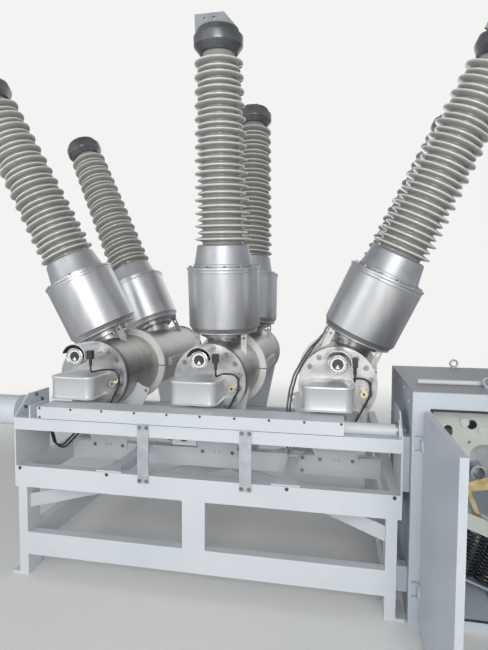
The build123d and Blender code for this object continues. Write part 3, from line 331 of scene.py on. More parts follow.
# %% [markdown]
# ## Alloy and steel
# Tanks and current transformer housings are bare alloy. Rolling and brushing leave fine lines round a
# tank, so its noise is squeezed along the tank's axis, and the sheet of the housings is streaked upwards
# in the same way. Zinc shows as cloudy patches. The metallic value stays below one where the metal is
# dull, because a full mirror would show more of the room than the real skin does.

# %% Alloy and steel
tank_alloy = finish("tank_alloy", (0.33, 0.32, 0.305), (0.46, 0.45, 0.435), 0.38, metallic=0.9, grain=4.0,
                    stretch=(1, 5, 1), spread=0.05, bump=0.04, bump_scale=90)
cover_alloy = finish("cover_alloy", (0.38, 0.38, 0.375), (0.56, 0.56, 0.555), 0.38, metallic=0.88,
                     grain=11.0, spread=0.08, bump=0.05)
machined_alloy = finish("machined_alloy", (0.76, 0.75, 0.725), (0.84, 0.83, 0.805), 0.45, metallic=0.25,
                        grain=9)
bare_alloy = finish("bare_alloy", (0.26, 0.28, 0.30), (0.36, 0.38, 0.40), 0.60, metallic=0.35, grain=12,
                    spread=0.06)
perforated_sheet = finish("perforated_sheet", (0.62, 0.62, 0.61), (0.72, 0.72, 0.71), 0.42, metallic=0.3,
                          grain=14, spread=0.05)
rolled_sheet = finish("rolled_sheet", (0.55, 0.555, 0.563), (0.65, 0.655, 0.665), 0.40, metallic=0.93,
                      grain=2.6, stretch=(4, 4, 1), spread=0.06, bump=0.02, bump_scale=160, detail=4.0)
drawn_sheet = finish("drawn_sheet", (0.69, 0.70, 0.715), (0.76, 0.77, 0.785), 0.34, metallic=0.45, grain=2.5,
                     spread=0.04, bump=0.02, detail=2.0)
zinc_coat = finish("zinc_coat", (0.43, 0.46, 0.485), (0.53, 0.56, 0.585), 0.48, metallic=0.55, grain=22.0,
                   spread=0.06)
yellow_zinc = finish("yellow_zinc", (0.50, 0.40, 0.17), (0.70, 0.60, 0.33), 0.34, metallic=0.85, grain=22)
print("finishes", len(bpy.data.materials))

# %% [markdown]
# ## Fittings, plastic and rubber
# The small pieces are turned steel, brass, dark screws, black plastic and rubber. They fill few pixels
# each, so their noise is fine and most need no bump. The lacquer of the springs is the glossiest of them.

# %% Fittings, plastic and rubber
turned_steel = finish("turned_steel", (0.58, 0.58, 0.57), (0.66, 0.66, 0.65), 0.26, metallic=1.0, grain=30,
                      spread=0.05)
valve_brass = finish("valve_brass", (0.66, 0.56, 0.33), (0.76, 0.67, 0.44), 0.30, metallic=1.0, grain=40,
                     spread=0.06)
bolt_zinc = finish("bolt_zinc", (0.20, 0.20, 0.21), (0.40, 0.40, 0.41), 0.36, metallic=0.8, grain=60,
                   spread=0.08)
dark_screw = finish("dark_screw", (0.06, 0.062, 0.065), (0.11, 0.112, 0.115), 0.5, metallic=0.4, grain=60)
black_plastic = finish("black_plastic", (0.02, 0.02, 0.022), (0.05, 0.05, 0.052), 0.5, grain=30, bump=0.05)
spring_lacquer = finish("spring_lacquer", (0.012, 0.012, 0.014), (0.035, 0.035, 0.04), 0.25, grain=30)
black_rubber = finish("black_rubber", (0.018, 0.018, 0.02), (0.04, 0.04, 0.042), 0.6, grain=30)
grey_rubber = finish("grey_rubber", (0.10, 0.105, 0.11), (0.17, 0.175, 0.18), 0.55, grain=30)
print("finishes", len(bpy.data.materials))

# %% [markdown]
# ## Dress the CAD nodes
# Most pieces keep the shape of their CAD solid and only take a finish. A table that lists the nodes under
# their finish keeps related pieces together, and a loop puts the one material on each mesh.

# %% Dress the CAD nodes
NODE_FINISHES = {
    stand_enamel: ("stand_legs", "lower_beams", "mid_posts", "plan_braces", "cross_rails", "top_rail",
                   "side_plates", "side_members", "frame_ties", "linkage_cover", "linkage_stub", "drive_tube",
                   "spring_tube", "roof_bar", "tank_cradles", "position_indicator"),
    cabinet_enamel: ("cabinet_walls", "cabinet_back", "cabinet_floor", "front_frame", "cabinet_brackets",
                     "cabinet_door", "door_hinges"),
    # painted shade: the cabinet roof gets the darker copy of the cabinet enamel
    roof_painted_shade_enamel: ("cabinet_roof",),
    perforated_sheet: ("side_trays",),
    cream_enamel: ("mechanism_plate", "spring_crosshead"),
    tank_alloy: ("tanks", "lifting_lugs"),
    cover_alloy: ("end_covers",),
    machined_alloy: ("clamp_rings",),
    drawn_sheet: ("gauge_hoods",),
    zinc_coat: ("rail_straps", "lifting_eyes", "mechanism_back", "spring_seat"),
    turned_steel: ("gauges", "cable_glands", "mechanism_rollers"),
    yellow_zinc: ("charging_lever", "pull_link"),
    grey_rubber: ("transformer_cables",),
    black_rubber: ("gauge_leads", "control_cables", "door_seal"),
    valve_brass: ("fill_valves",),
    black_plastic: ("gauge_plugs",),
    bare_alloy: ("terminals",),
}
dressed = 0
for material, names in NODE_FINISHES.items():
    for name in names:
        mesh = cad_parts[name].data
        mesh.materials.clear()
        mesh.materials.append(material)
        dressed += 1
print("dressed", dressed, "of", len(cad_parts))

# %% [markdown]
# ## Outlines with rounded corners
# Everything round on a bushing is one outline turned about its axis. An outline is a list of corners, each
# with its radius, its height and the size of its rounding. A helper swaps each corner for a short curve,
# because no cast, rolled or glazed edge is perfectly sharp, and a rounded edge catches the light.

# %% Outlines with rounded corners
# the largest part of a side that one rounding may take
LONGEST_CUT = 0.49


def rounded(corners, steps=3):
    """Outline whose corners (x, y, rounding) become short curves."""
    points = []
    count = len(corners)
    for i, (x, y, size) in enumerate(corners):
        corner = Vector((x, y))
        if size == 0 or i in (0, count - 1):
            points.append(corner)
            continue
        back = Vector(corners[i - 1][:2]) - corner
        ahead = Vector(corners[i + 1][:2]) - corner
        half_turn = back.angle(ahead) / 2
        reach = min(size / math.tan(half_turn), back.length * LONGEST_CUT, ahead.length * LONGEST_CUT)
        start = corner + back.normalized() * reach
        end = corner + ahead.normalized() * reach
        for step in range(steps + 1):
            t = step / steps
            points.append(start * (1 - t) ** 2 + corner * 2 * t * (1 - t) + end * t ** 2)
    return points


def disc_outline(radius, low, high, low_round=0, high_round=0):
    """Outline of a solid disc between two heights, with its two edges rounded."""
    return rounded([(0, low, 0), (radius, low, low_round), (radius, high, high_round), (0, high, 0)])


print("a disc with round edges has", len(disc_outline(1, 0, 1, 0.1, 0.1)), "points in its outline")

# %% [markdown]
# ## Turned pieces
# A Screw modifier could turn an outline, but it gives no UV map. This helper builds the closed mesh
# itself, with a UV map whose U runs round the piece and whose V runs along the outline. It also stores a
# share from the axis or core outwards at each point, which the glaze and the gauge dials read.

# %% Helpers for turned pieces
SHARP_ANGLE = 35.0


def mesh_piece(name, vertices, faces, material, smooth_angle=SHARP_ANGLE):
    """Object from plain lists, smooth except where its faces meet at a sharp angle."""
    mesh = bpy.data.meshes.new(name)
    mesh.from_pydata(vertices, [], faces)
    mesh.shade_smooth()
    mesh.set_sharp_from_angle(angle=math.radians(smooth_angle))
    mesh.materials.append(material)
    return link_object(name, mesh)


def share_of_widest(point, widest):
    """How far a point of an outline lies from the axis, as a share of the widest radius."""
    return point.x / widest


def turned_map(piece, segments, ring_count):
    """UV map of a turned piece: U runs round it and V along its outline."""
    uv = piece.data.uv_layers.new(name="turned").data
    for polygon in piece.data.polygons:
        corners = [piece.data.loops[i].vertex_index for i in polygon.loop_indices]
        at_end = max(corner % segments for corner in corners) == segments - 1
        for i, corner in zip(polygon.loop_indices, corners):
            k = corner % segments
            wraps = k == 0 and at_end
            uv[i].uv = (1.0 if wraps else k / segments, min(corner // segments / ring_count, 1.0))


def turned_piece(name, outline, place, material, segments=96, share=share_of_widest):
    """Closed solid of revolution; the outline starts and ends on the axis, or is a closed loop beside it."""
    on_axis = outline[0].x == 0
    rings = outline[1:-1] if on_axis else outline
    vertices = []
    for point in rings:
        for k in range(segments):
            angle = 2 * math.pi * k / segments
            vertices.append(place @ Vector((point.x * math.cos(angle), point.x * math.sin(angle), point.y)))
    faces = []
    for k in range(segments):
        after = (k + 1) % segments
        for i in range(len(rings) - (1 if on_axis else 0)):
            low = i * segments
            high = (i + 1) % len(rings) * segments
            faces.append((low + k, low + after, high + after, high + k))
        if on_axis:
            foot = len(rings) * segments
            faces.append((foot, after, k))
            faces.append((foot - segments + k, foot - segments + after, foot + 1))
    if on_axis:
        vertices += [place @ Vector((0, 0, outline[0].y)), place @ Vector((0, 0, outline[-1].y))]
    piece = mesh_piece(name, vertices, faces, material)
    widest = max(point.x for point in rings)
    reach = piece.data.attributes.new("reach", "FLOAT", "POINT")
    for i in range(len(vertices)):
        reach.data[i].value = share(rings[i // segments], widest) if i < len(rings) * segments else 0.0
    turned_map(piece, segments, len(rings))
    return piece


print("edges sharper than", SHARP_ANGLE, "degrees stay sharp")

# %% [markdown]
# ## Painted shade in the grooves
# The glaze keeps its shine and plain colour at the rims, and is painted darker near the core as painted
# shade between the sheds. A painted image could show this, but the stored share already says how far each
# point lies from the core towards the rim of its shed. The glaze multiplies its colour with a ramp of
# that share.

# %% Darker glaze near the core
GLAZE_COAT = 0.5
# painted shade: the ramp darkens the glaze near the core of each shed and leaves the rims plain
GROOVE_PAINTED_SHADE, GROOVE_TO = (0.46, 0.45, 0.43, 1), 0.05
SLOPE_PAINTED_SHADE, SLOPE_AT = (0.58, 0.57, 0.54, 1), 0.72
RIM_UNSHADED, RIM_FROM = (1, 1, 1, 1), 0.97

glaze_tree = glaze.node_tree
glaze_shader = glaze_tree.nodes["Principled BSDF"]
glaze_shader.inputs["Coat Weight"].default_value = GLAZE_COAT
plain_glaze = glaze_shader.inputs["Base Color"].links[0].from_node
shed_share = add_node(glaze_tree, "ShaderNodeAttribute", attribute_name="reach")
painted_shade_ramp = add_node(glaze_tree, "ShaderNodeValToRGB")
deepest_shade_step, rim_step = painted_shade_ramp.color_ramp.elements
deepest_shade_step.position, deepest_shade_step.color = GROOVE_TO, GROOVE_PAINTED_SHADE
rim_step.position, rim_step.color = RIM_FROM, RIM_UNSHADED
painted_shade_ramp.color_ramp.elements.new(SLOPE_AT).color = SLOPE_PAINTED_SHADE
painted_shade_mix = add_node(glaze_tree, "ShaderNodeMix", {"Factor": 1.0}, data_type="RGBA", blend_type="MULTIPLY")
wire(glaze_tree,
     (shed_share, "Fac", painted_shade_ramp, "Fac"),
     (plain_glaze, "Color", painted_shade_mix, "A"),
     (painted_shade_ramp, "Color", painted_shade_mix, "B"),
     (painted_shade_mix, "Result", glaze_shader, "Base Color"))
print("steps of the ramp", [round(step.position, 2) for step in painted_shade_ramp.color_ramp.elements])

# %% [markdown]
# ## Porcelain
# Tall and short sheds take turns, so that rain dripping from one shed can't bridge to the next. Each shed
# has a nearly level underside, a thin rounded lip and a slightly steeper top, from which the water runs
# off. The whole stack tapers upwards. It follows a rule, so a loop writes the outline from the radii at
# the lowest and the highest shed.

# %% Sizes of the porcelain
PORCELAIN_BASE = 0.850
PORCELAIN_HEIGHT = 1.160
TALL_COUNT = 14
FIRST_SHED = 0.035
SHED_PITCH = 0.0823
TAPER_RUN = SHED_PITCH * (TALL_COUNT - 1)
CORE_LOW, CORE_HIGH = 0.134, 0.102
TALL_LOW, TALL_HIGH = 0.183, 0.152
SHORT_LOW, SHORT_HIGH = 0.165, 0.134


def along_taper(low, high, height):
    """Radius at a height between the lowest and the highest shed."""
    return low + (high - low) * (height - FIRST_SHED) / TAPER_RUN


def shed_tip(index, height):
    """Radius of a shed's rim: those with an even number are tall."""
    low, high = (SHORT_LOW, SHORT_HIGH) if index % 2 else (TALL_LOW, TALL_HIGH)
    return along_taper(low, high, height)


def share_of_shed(point, widest):
    """0 on the core and 1 on the rim of the nearest shed."""
    height = point.y - PORCELAIN_BASE
    nearest = round((height - FIRST_SHED) / (SHED_PITCH / 2))
    core = along_taper(CORE_LOW, CORE_HIGH, height)
    return min(max((point.x - core) / (shed_tip(nearest, height) - core), 0.0), 1.0)


print("sheds", 2 * TALL_COUNT - 1)

# %% [markdown]
# The outline climbs from the foot to the neck with four corners for each shed. Small roundings at the lip
# and wider ones in the grooves are what a glazed and fired edge shows.

# %% Porcelain
SHED_UNDER, UNDER_ROUND = 0.016, 0.006
SHED_OVER, OVER_ROUND = 0.019, 0.010
LIP, LIP_UNDER_ROUND, LIP_OVER_ROUND = 0.0038, 0.003, 0.004
FOOT_ROUND = 0.003
STACK_SEGMENTS = 72

corners = [(0, PORCELAIN_BASE, 0), (CORE_LOW, PORCELAIN_BASE, FOOT_ROUND)]
for index in range(2 * TALL_COUNT - 1):
    height = FIRST_SHED + index * SHED_PITCH / 2
    tip = shed_tip(index, height)
    core = along_taper(CORE_LOW, CORE_HIGH, height)
    level = PORCELAIN_BASE + height
    corners += [(core, level - SHED_UNDER, UNDER_ROUND), (tip, level - LIP, LIP_UNDER_ROUND),
                (tip, level + LIP, LIP_OVER_ROUND), (core, level + SHED_OVER, OVER_ROUND)]
corners += [(CORE_HIGH, PORCELAIN_BASE + PORCELAIN_HEIGHT, 0), (0, PORCELAIN_BASE + PORCELAIN_HEIGHT, 0)]
shed_outline = rounded(corners, steps=2)
for index, place in enumerate(BUSHINGS):
    stack = turned_piece(f"porcelain_{index}", shed_outline, place, glaze, STACK_SEGMENTS, share_of_shed)
    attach(stack, BREAKER)
    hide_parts("porcelains")
print("outline points", len(shed_outline), "faces in a stack", len(stack.data.polygons))

# %% [markdown]
# ## Metalwork of the bushings
# Under each porcelain stands a bell-shaped cast collar on the round housing of the current transformers,
# whose sheet is rolled, turned in at the foot and rimmed at the top. A cast cap closes each porcelain. The
# outlines hold the small beads and steps, because those make thin lines of light on turned metal.

# %% Outlines of the housings, collars and caps
CT_BASE, CT_TOP, CT_R = 0.280, 0.705, 0.235
COLLAR_R = 0.196
CAP_BASE, CAP_TOP = 2.010, 2.150
STUD_R, STUD_HEIGHT, STUD_ROUND = 0.020, 0.040, 0.003

housing_outline = rounded([
    (0, CT_BASE, 0), (CT_R - 0.019, CT_BASE, 0.002), (CT_R - 0.016, CT_BASE + 0.005, 0.002),
    (CT_R - 0.019, CT_BASE + 0.009, 0.002), (CT_R - 0.006, CT_BASE + 0.034, 0.003),
    (CT_R, CT_BASE + 0.040, 0.004), (CT_R, CT_TOP - 0.036, 0.002), (CT_R + 0.002, CT_TOP - 0.033, 0.001),
    (CT_R, CT_TOP - 0.030, 0.001), (CT_R, CT_TOP - 0.015, 0.001), (CT_R + 0.006, CT_TOP - 0.014, 0.0015),
    (CT_R + 0.006, CT_TOP, 0.002), (0, CT_TOP, 0)])
collar_outline = rounded([
    (0, CT_TOP, 0), (COLLAR_R, CT_TOP, 0.002), (COLLAR_R, CT_TOP + 0.020, 0.004),
    (COLLAR_R - 0.006, CT_TOP + 0.020, 0.003), (0.177, CT_TOP + 0.087, 0.03), (0.169, CT_TOP + 0.137, 0.004),
    (0.161, CT_TOP + 0.145, 0.002), (0, CT_TOP + 0.145, 0)], steps=4)
cap_outline = rounded([
    (0, CAP_BASE, 0), (0.118, CAP_BASE, 0.002), (0.153, CAP_BASE + 0.042, 0.012),
    (0.153, CAP_BASE + 0.098, 0.005), (0.134, CAP_BASE + 0.104, 0.006), (0.128, CAP_TOP, 0.008),
    (0, CAP_TOP, 0)], steps=4)
stud_outline = disc_outline(STUD_R, CAP_TOP, CAP_TOP + STUD_HEIGHT, 0, STUD_ROUND)
print("points", [len(outline) for outline in (housing_outline, collar_outline, cap_outline, stud_outline)])

# %% [markdown]
# Each bushing gets its housing, collar and cap, and the back bushings, which have odd numbers, carry a
# stud on the cap for the conductor. One loop turns them all, and a table says which CAD node each piece
# stands for.

# %% Housings, collars, caps and studs
BODY_SEGMENTS, STUD_SEGMENTS = 96, 32
# name, outline, finish, segments, CAD node and slot
METALWORK = (
    ("ct_shell", housing_outline, rolled_sheet, BODY_SEGMENTS, "ct_housings", "rolled_alloy"),
    ("collar", collar_outline, collar_casting, BODY_SEGMENTS, "collars", "collar_paint"),
    ("cap", cap_outline, cap_casting, BODY_SEGMENTS, "end_caps", "collar_paint"),
    ("cap_stud", stud_outline, bare_alloy, STUD_SEGMENTS, "end_caps", "collar_paint"),
)

turned_count = 0
for index, place in enumerate(BUSHINGS):
    for name, outline, material, segments, node, slot in METALWORK:
        if name == "cap_stud" and index % 2 == 0:
            continue
        piece = turned_piece(f"{name}_{index}", outline, place, material, segments)
        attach(piece, BREAKER)
        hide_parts(node)
        turned_count += 1
print("turned pieces", turned_count)

# %% [markdown]
# ## Closing springs
# Round wire wound on a helix, three springs side by side. A curve with a bevel could make the wire, but
# its ends would stay open or need a cap object. Here the path is walked in small steps, and at each step a
# ring of points is set at a right angle to the wire. One flat face closes each end.

# %% Closing springs
SPRING_LEAN = math.radians(20)
SPRING_SEAT = Vector((1.405, -0.705, 0.175))
SPRING_SPACING = 0.118
COIL_R = 0.049
WIRE_R = 0.0065
# the axis of the wire starts a little less than its radius over the seat, so that the two touch
FIRST_LIFT = WIRE_R * math.cos(math.pi / 6)
COIL_PITCH = 0.0194
COIL_TURNS = 12.3
STEPS_PER_TURN = 28
WIRE_SIDES = 10


def tube_mesh(points, radius, sides):
    """Vertices and faces of a round tube along a list of points."""
    vertices, faces = [], []
    normal = (points[1] - points[0]).orthogonal().normalized()
    for i, point in enumerate(points):
        ahead = (points[min(i + 1, len(points) - 1)] - points[max(i - 1, 0)]).normalized()
        normal = (normal - ahead * normal.dot(ahead)).normalized()
        side = ahead.cross(normal)
        for k in range(sides):
            angle = 2 * math.pi * k / sides
            vertices.append(point + (normal * math.cos(angle) + side * math.sin(angle)) * radius)
    for i in range(len(points) - 1):
        for k in range(sides):
            after = (k + 1) % sides
            faces.append((i * sides + k, i * sides + after, (i + 1) * sides + after, (i + 1) * sides + k))
    faces.append(tuple(reversed(range(sides))))
    faces.append(tuple(range((len(points) - 1) * sides, len(points) * sides)))
    return vertices, faces


spring_turn = Matrix.Translation(SPRING_SEAT) @ Matrix.Rotation(SPRING_LEAN, 4, "Y")
for index, offset in enumerate((-SPRING_SPACING, 0, SPRING_SPACING)):
    helix = []
    for step in range(round(COIL_TURNS * STEPS_PER_TURN) + 1):
        angle = 2 * math.pi * step / STEPS_PER_TURN
        helix.append(spring_turn @ Vector((offset + COIL_R * math.cos(angle), COIL_R * math.sin(angle),
                                           FIRST_LIFT + COIL_PITCH * step / STEPS_PER_TURN)))
    coil = mesh_piece(f"closing_spring_{index}", *tube_mesh(helix, WIRE_R, WIRE_SIDES), spring_lacquer)
    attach(coil, BREAKER)
    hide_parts("closing_springs")
print("steps in a coil", len(helix))

# %% [markdown]
# ## Gauge dials
# A gas gauge is a turned steel case with a rim, a white dial and a dark face in its middle. Marks as thin
# solids would be finer than a pixel, so the dial takes them from a pattern: the turned mesh knows the
# share of the radius, and its UV map knows the angle. A clear coat stands in for the glass.

# %% The dial's material and its two measures
DIAL_ROUGHNESS = 0.45
DIAL_COAT = 0.6

dial_paint, dial_tree, dial_shader = shader_material("dial_paint")
dial_shader.inputs["Roughness"].default_value = DIAL_ROUGHNESS
dial_shader.inputs["Coat Weight"].default_value = DIAL_COAT
dial_reach = add_node(dial_tree, "ShaderNodeAttribute", attribute_name="reach").outputs["Fac"]
dial_map = add_node(dial_tree, "ShaderNodeUVMap", uv_map="turned")
dial_split = add_node(dial_tree, "ShaderNodeSeparateXYZ")
wire(dial_tree, (dial_map, "UV", dial_split, "Vector"))
dial_turn = dial_split.outputs["X"]


def dial_math(operation, first, second):
    """Maths node whose inputs are sockets or plain numbers."""
    node = add_node(dial_tree, "ShaderNodeMath", operation=operation)
    for socket, value in zip(node.inputs, (first, second)):
        if isinstance(value, (int, float)):
            socket.default_value = value
        else:
            dial_tree.links.new(value, socket)
    return node.outputs[0]


def dial_between(measure, low, high):
    """1 where a measure of the dial lies between two values."""
    above = dial_math("GREATER_THAN", measure, low)
    below = dial_math("LESS_THAN", measure, high)
    return dial_math("MULTIPLY", above, below)


def dial_rays(count, width):
    """1 on evenly spaced rays of the dial."""
    return dial_math("LESS_THAN", dial_math("FRACT", dial_math("MULTIPLY", dial_turn, count), 0), width)


print("the dial reads", dial_reach.node.attribute_name, "and", dial_map.uv_map)

# %% [markdown]
# Fine and long marks are rays cut off by a ring, a thin line closes the scale, and the dark face has a
# pale wedge in its lower side. All the dark parts join into one mask, which mixes the two colours of the
# dial.

# %% Dial paint
DIAL_PALE, DIAL_DARK = (0.82, 0.83, 0.81, 1), (0.035, 0.035, 0.04, 1)
FINE_COUNT, FINE_WIDTH, FINE_FROM = 40, 0.24, 0.86
LONG_COUNT, LONG_WIDTH, LONG_FROM = 8, 0.07, 0.76
MARKS_TO = 0.93
LINE_FROM, LINE_TO = 0.935, 0.955
CORE_TO = 0.70
WEDGE_FROM, WEDGE_TO = 0.08, 0.56
WEDGE_TURN_FROM, WEDGE_TURN_TO = 0.66, 0.83

fine_marks = dial_math("MULTIPLY", dial_between(dial_reach, FINE_FROM, MARKS_TO),
                       dial_rays(FINE_COUNT, FINE_WIDTH))
long_marks = dial_math("MULTIPLY", dial_between(dial_reach, LONG_FROM, MARKS_TO),
                       dial_rays(LONG_COUNT, LONG_WIDTH))
marks = dial_math("MAXIMUM", fine_marks, long_marks)
ring_line = dial_between(dial_reach, LINE_FROM, LINE_TO)
wedge = dial_math("MULTIPLY", dial_between(dial_reach, WEDGE_FROM, WEDGE_TO),
                  dial_between(dial_turn, WEDGE_TURN_FROM, WEDGE_TURN_TO))
dark_core = dial_math("SUBTRACT", dial_math("LESS_THAN", dial_reach, CORE_TO), wedge)
dark_parts = dial_math("MAXIMUM", marks, dial_math("MAXIMUM", ring_line, dark_core))
dial_colour = add_node(dial_tree, "ShaderNodeMix", {"A": DIAL_PALE, "B": DIAL_DARK}, data_type="RGBA")
dial_tree.links.new(dark_parts, dial_colour.inputs["Factor"])
wire(dial_tree, (dial_colour, "Result", dial_shader, "Base Color"))
print("dial nodes", len(dial_tree.nodes))

# %% [markdown]
# ## Gauge faces
# The rim is a turned ring and the dial a flat disc just inside it, and both look to the front. The disc
# has many rings of points from its centre to its edge, because the stored share is read between the
# points.

# %% Gauge faces
GAUGE_FRONT_Y = TANK_FRONT_Y - 0.215
GAUGE_Z = 1.274
RIM_IN, RIM_OUT = 0.0425, 0.0525
DIAL_R, DIAL_BACK, DIAL_FACE = 0.0424, 0.0002, 0.0032
DIAL_RINGS = 24
GAUGE_SEGMENTS = 64


def facing_front(x, y, z):
    """Matrix whose local Z looks to the front, with X along the stand."""
    place = Matrix(((1, 0, 0), (0, 0, -1), (0, 1, 0))).to_4x4()
    place.translation = (x, y, z)
    return place


rim_outline = rounded([(RIM_IN, 0, 0), (RIM_OUT, 0, 0.001), (RIM_OUT, 0.007, 0.002), (0.047, 0.0095, 0.002),
                       (RIM_IN, 0.006, 0)])
dial_outline = [Vector((0, DIAL_BACK)), Vector((DIAL_R, DIAL_BACK))]
dial_outline += [Vector((DIAL_R * (DIAL_RINGS - i) / DIAL_RINGS, DIAL_FACE)) for i in range(DIAL_RINGS)]
dial_outline.append(Vector((0, DIAL_FACE)))
for index, (pole_x, lean) in enumerate(POLE_PLACES):
    place = facing_front(pole_x, GAUGE_FRONT_Y, GAUGE_Z)
    gauge_pieces = [turned_piece(f"gauge_rim_{index}", rim_outline, place, turned_steel, GAUGE_SEGMENTS),
                    turned_piece(f"gauge_dial_{index}", dial_outline, place, dial_paint, GAUGE_SEGMENTS)]
    for piece in gauge_pieces:
        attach(piece, BREAKER)
print("gauges", len(POLE_PLACES), "with", len(gauge_pieces), "pieces each")

# %% [markdown]
# ## Crank boxes
# A drawn sheet box covers the crank under each gauge. Its plan is a rectangle with round front corners,
# flat against the tank cover. The shape is a stack of such outlines, each a little wider or narrower than
# the wall: a rolled rim at the foot, a bead under the lid, and a lid that rises to a flat field. Stacked
# outlines keep the same number of points at every level, so the sides join up without any cutting.

# %% Plan of a crank box
BOX_FROM, BOX_TO = -0.185, 0.086
BOX_DEPTH = 0.190
BOX_CORNER = 0.048
BOX_LEAST_CORNER = 0.012
BOX_BASE = 1.012
# height over the foot, and how far the outline stands outside the wall
BOX_LEVELS = ((0, 0.004), (0.003, 0.006), (0.009, 0.006), (0.012, 0.001), (0.020, 0), (0.119, 0),
              (0.123, 0.004), (0.126, 0.0055), (0.132, 0.0055), (0.135, 0.004), (0.139, -0.003),
              (0.143, -0.018), (0.149, -0.040), (0.153, -0.050))
CORNER_STEPS = 10


def box_plan(outset):
    """Outline of the box seen from above, from the back left corner round the front to the back right one."""
    left, right, near = BOX_FROM - outset, BOX_TO + outset, -BOX_DEPTH - outset
    radius = max(BOX_CORNER + outset, BOX_LEAST_CORNER)
    plan = [Vector((left, 0))]
    for centre_x, start_angle in ((left + radius, math.pi), (right - radius, 1.5 * math.pi)):
        for step in range(CORNER_STEPS + 1):
            angle = start_angle + math.pi / 2 * step / CORNER_STEPS
            x, y = centre_x + radius * math.cos(angle), near + radius + radius * math.sin(angle)
            plan.append(Vector((x, y)))
    plan.append(Vector((right, 0)))
    return plan


plan_count = len(box_plan(0))
print("points round a crank box", plan_count)

# %% [markdown]
# The outlines are joined level by level, and one flat face closes the foot and one the lid. A drawn sheet
# has only soft edges, so the faces stay smooth up to a wider angle than on turned pieces.

# %% Crank boxes
BOX_SHARP_ANGLE = 50

for index, (pole_x, lean) in enumerate(POLE_PLACES):
    box_vertices, box_faces = [], []
    for rise, outset in BOX_LEVELS:
        box_vertices += [(pole_x + p.x, TANK_FRONT_Y + p.y, BOX_BASE + rise) for p in box_plan(outset)]
    for level in range(len(BOX_LEVELS) - 1):
        for k in range(plan_count):
            low, after = level * plan_count + k, level * plan_count + (k + 1) % plan_count
            box_faces.append((low, after, after + plan_count, low + plan_count))
    box_faces.append(tuple(reversed(range(plan_count))))
    box_faces.append(tuple(range(len(box_vertices) - plan_count, len(box_vertices))))
    crank_box = mesh_piece(f"crank_box_{index}", box_vertices, box_faces, drawn_sheet, BOX_SHARP_ANGLE)
    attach(crank_box, BREAKER)
    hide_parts("crank_boxes")
print("faces of a crank box", len(crank_box.data.polygons))

# %% [markdown]
# ## Fittings in two materials
# The inside of the hood over a gauge is painted black as painted shade, and its outside stays bright;
# the brass valve sits on a pad of bare alloy. The CAD solids already have these faces, so no new mesh is
# needed: each face only picks the second material of its node where it points inwards or lies on the pad.

# %% Two-tone fittings
VALVE_PAD_Y = TANK_FRONT_Y - 0.0165
HOOD_EDGE = 0.5
HOOD_INWARDS = -0.03


def second_material(name, material, belongs):
    """Give a node a second material on the faces that a test picks."""
    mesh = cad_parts[name].data
    mesh.materials.append(material)
    picked = 0
    for polygon in mesh.polygons:
        if belongs(polygon.center, polygon.normal):
            polygon.material_index = 1
            picked += 1
    return picked


def painted_shade_in_hood(centre, normal):
    """True on the faces that look to the nearest gauge axis."""
    pole_x = min((x for x, lean in POLE_PLACES), key=lambda x: abs(x - centre.x))
    outwards = Vector((centre.x - pole_x, 0, centre.z - GAUGE_Z))
    return abs(normal.y) < HOOD_EDGE and outwards.dot(normal) < HOOD_INWARDS


def on_valve_pad(centre, normal):
    """True on the faces close to the tank cover."""
    return centre.y > VALVE_PAD_Y


# painted shade: the inner faces of each hood get black, for the shade in its deep hollow
print("hood faces", second_material("gauge_hoods", black_plastic, painted_shade_in_hood))
print("pad faces", second_material("fill_valves", cover_alloy, on_valve_pad))

# %% [markdown]
# ## Bolts
# Several hundred bolts hold the breaker together. A Geometry Nodes tree sets one bolt on every point of a
# mesh: a washer, a six-sided head and the end of the stud. Each point carries the direction in which its
# bolt looks out. The same tree serves all sizes, because radius and height are named inputs of the tree.
# Copies of one bolt object would do too, but they would crowd the scene.

# %% The inputs of the bolt tree
# sizes of a bolt and of a flat screw, as shares of the head's radius
BOLT_SHARES = {"Head Radius": 1.0, "Head Height": 0.75, "Washer Radius": 1.35, "Washer Height": 0.18,
               "Stud Radius": 0.5, "Stud Height": 0.45}
SCREW_SHARES = BOLT_SHARES | {"Head Height": 0.3, "Stud Height": 0.05}

bolt_tree = bpy.data.node_groups.new("bolt_on_points", "GeometryNodeTree")
bolt_tree.interface.new_socket("Points", in_out="INPUT", socket_type="NodeSocketGeometry")
for label in BOLT_SHARES:
    bolt_tree.interface.new_socket(label, in_out="INPUT", socket_type="NodeSocketFloat")
bolt_tree.interface.new_socket("Finish", in_out="INPUT", socket_type="NodeSocketMaterial")
bolt_tree.interface.new_socket("Bolts", in_out="OUTPUT", socket_type="NodeSocketGeometry")
bolt_in = add_node(bolt_tree, "NodeGroupInput")
bolt_out = add_node(bolt_tree, "NodeGroupOutput")
bolt_join = add_node(bolt_tree, "GeometryNodeJoinGeometry")
print("inputs of the bolt tree", len(bolt_in.outputs) - 1)

# %% [markdown]
# Washer, head and stud are three cylinders that stand on one another. A cylinder node is centred on the
# origin, so each one is lifted by half its own height and by the heights of those under it.

# %% The three discs of a bolt
WASHER_SIDES, HEAD_SIDES, STUD_SIDES = 16, 6, 10


def bolt_disc(sides, radius, height, below):
    """Cylinder of the tree that stands on others: below lists the heights under it."""
    disc = add_node(bolt_tree, "GeometryNodeMeshCylinder", {"Vertices": sides})
    lift = add_node(bolt_tree, "ShaderNodeMath", {1: 0.5}, operation="MULTIPLY")
    wire(bolt_tree,
         (bolt_in, radius, disc, "Radius"),
         (bolt_in, height, disc, "Depth"),
         (bolt_in, height, lift, 0))
    level = lift
    for lower in below:
        total = add_node(bolt_tree, "ShaderNodeMath", operation="ADD")
        wire(bolt_tree, (level, 0, total, 0), (bolt_in, lower, total, 1))
        level = total
    offset = add_node(bolt_tree, "ShaderNodeCombineXYZ")
    move = add_node(bolt_tree, "GeometryNodeTransform")
    wire(bolt_tree,
         (level, 0, offset, "Z"),
         (disc, "Mesh", move, "Geometry"),
         (offset, "Vector", move, "Translation"),
         (move, "Geometry", bolt_join, "Geometry"))


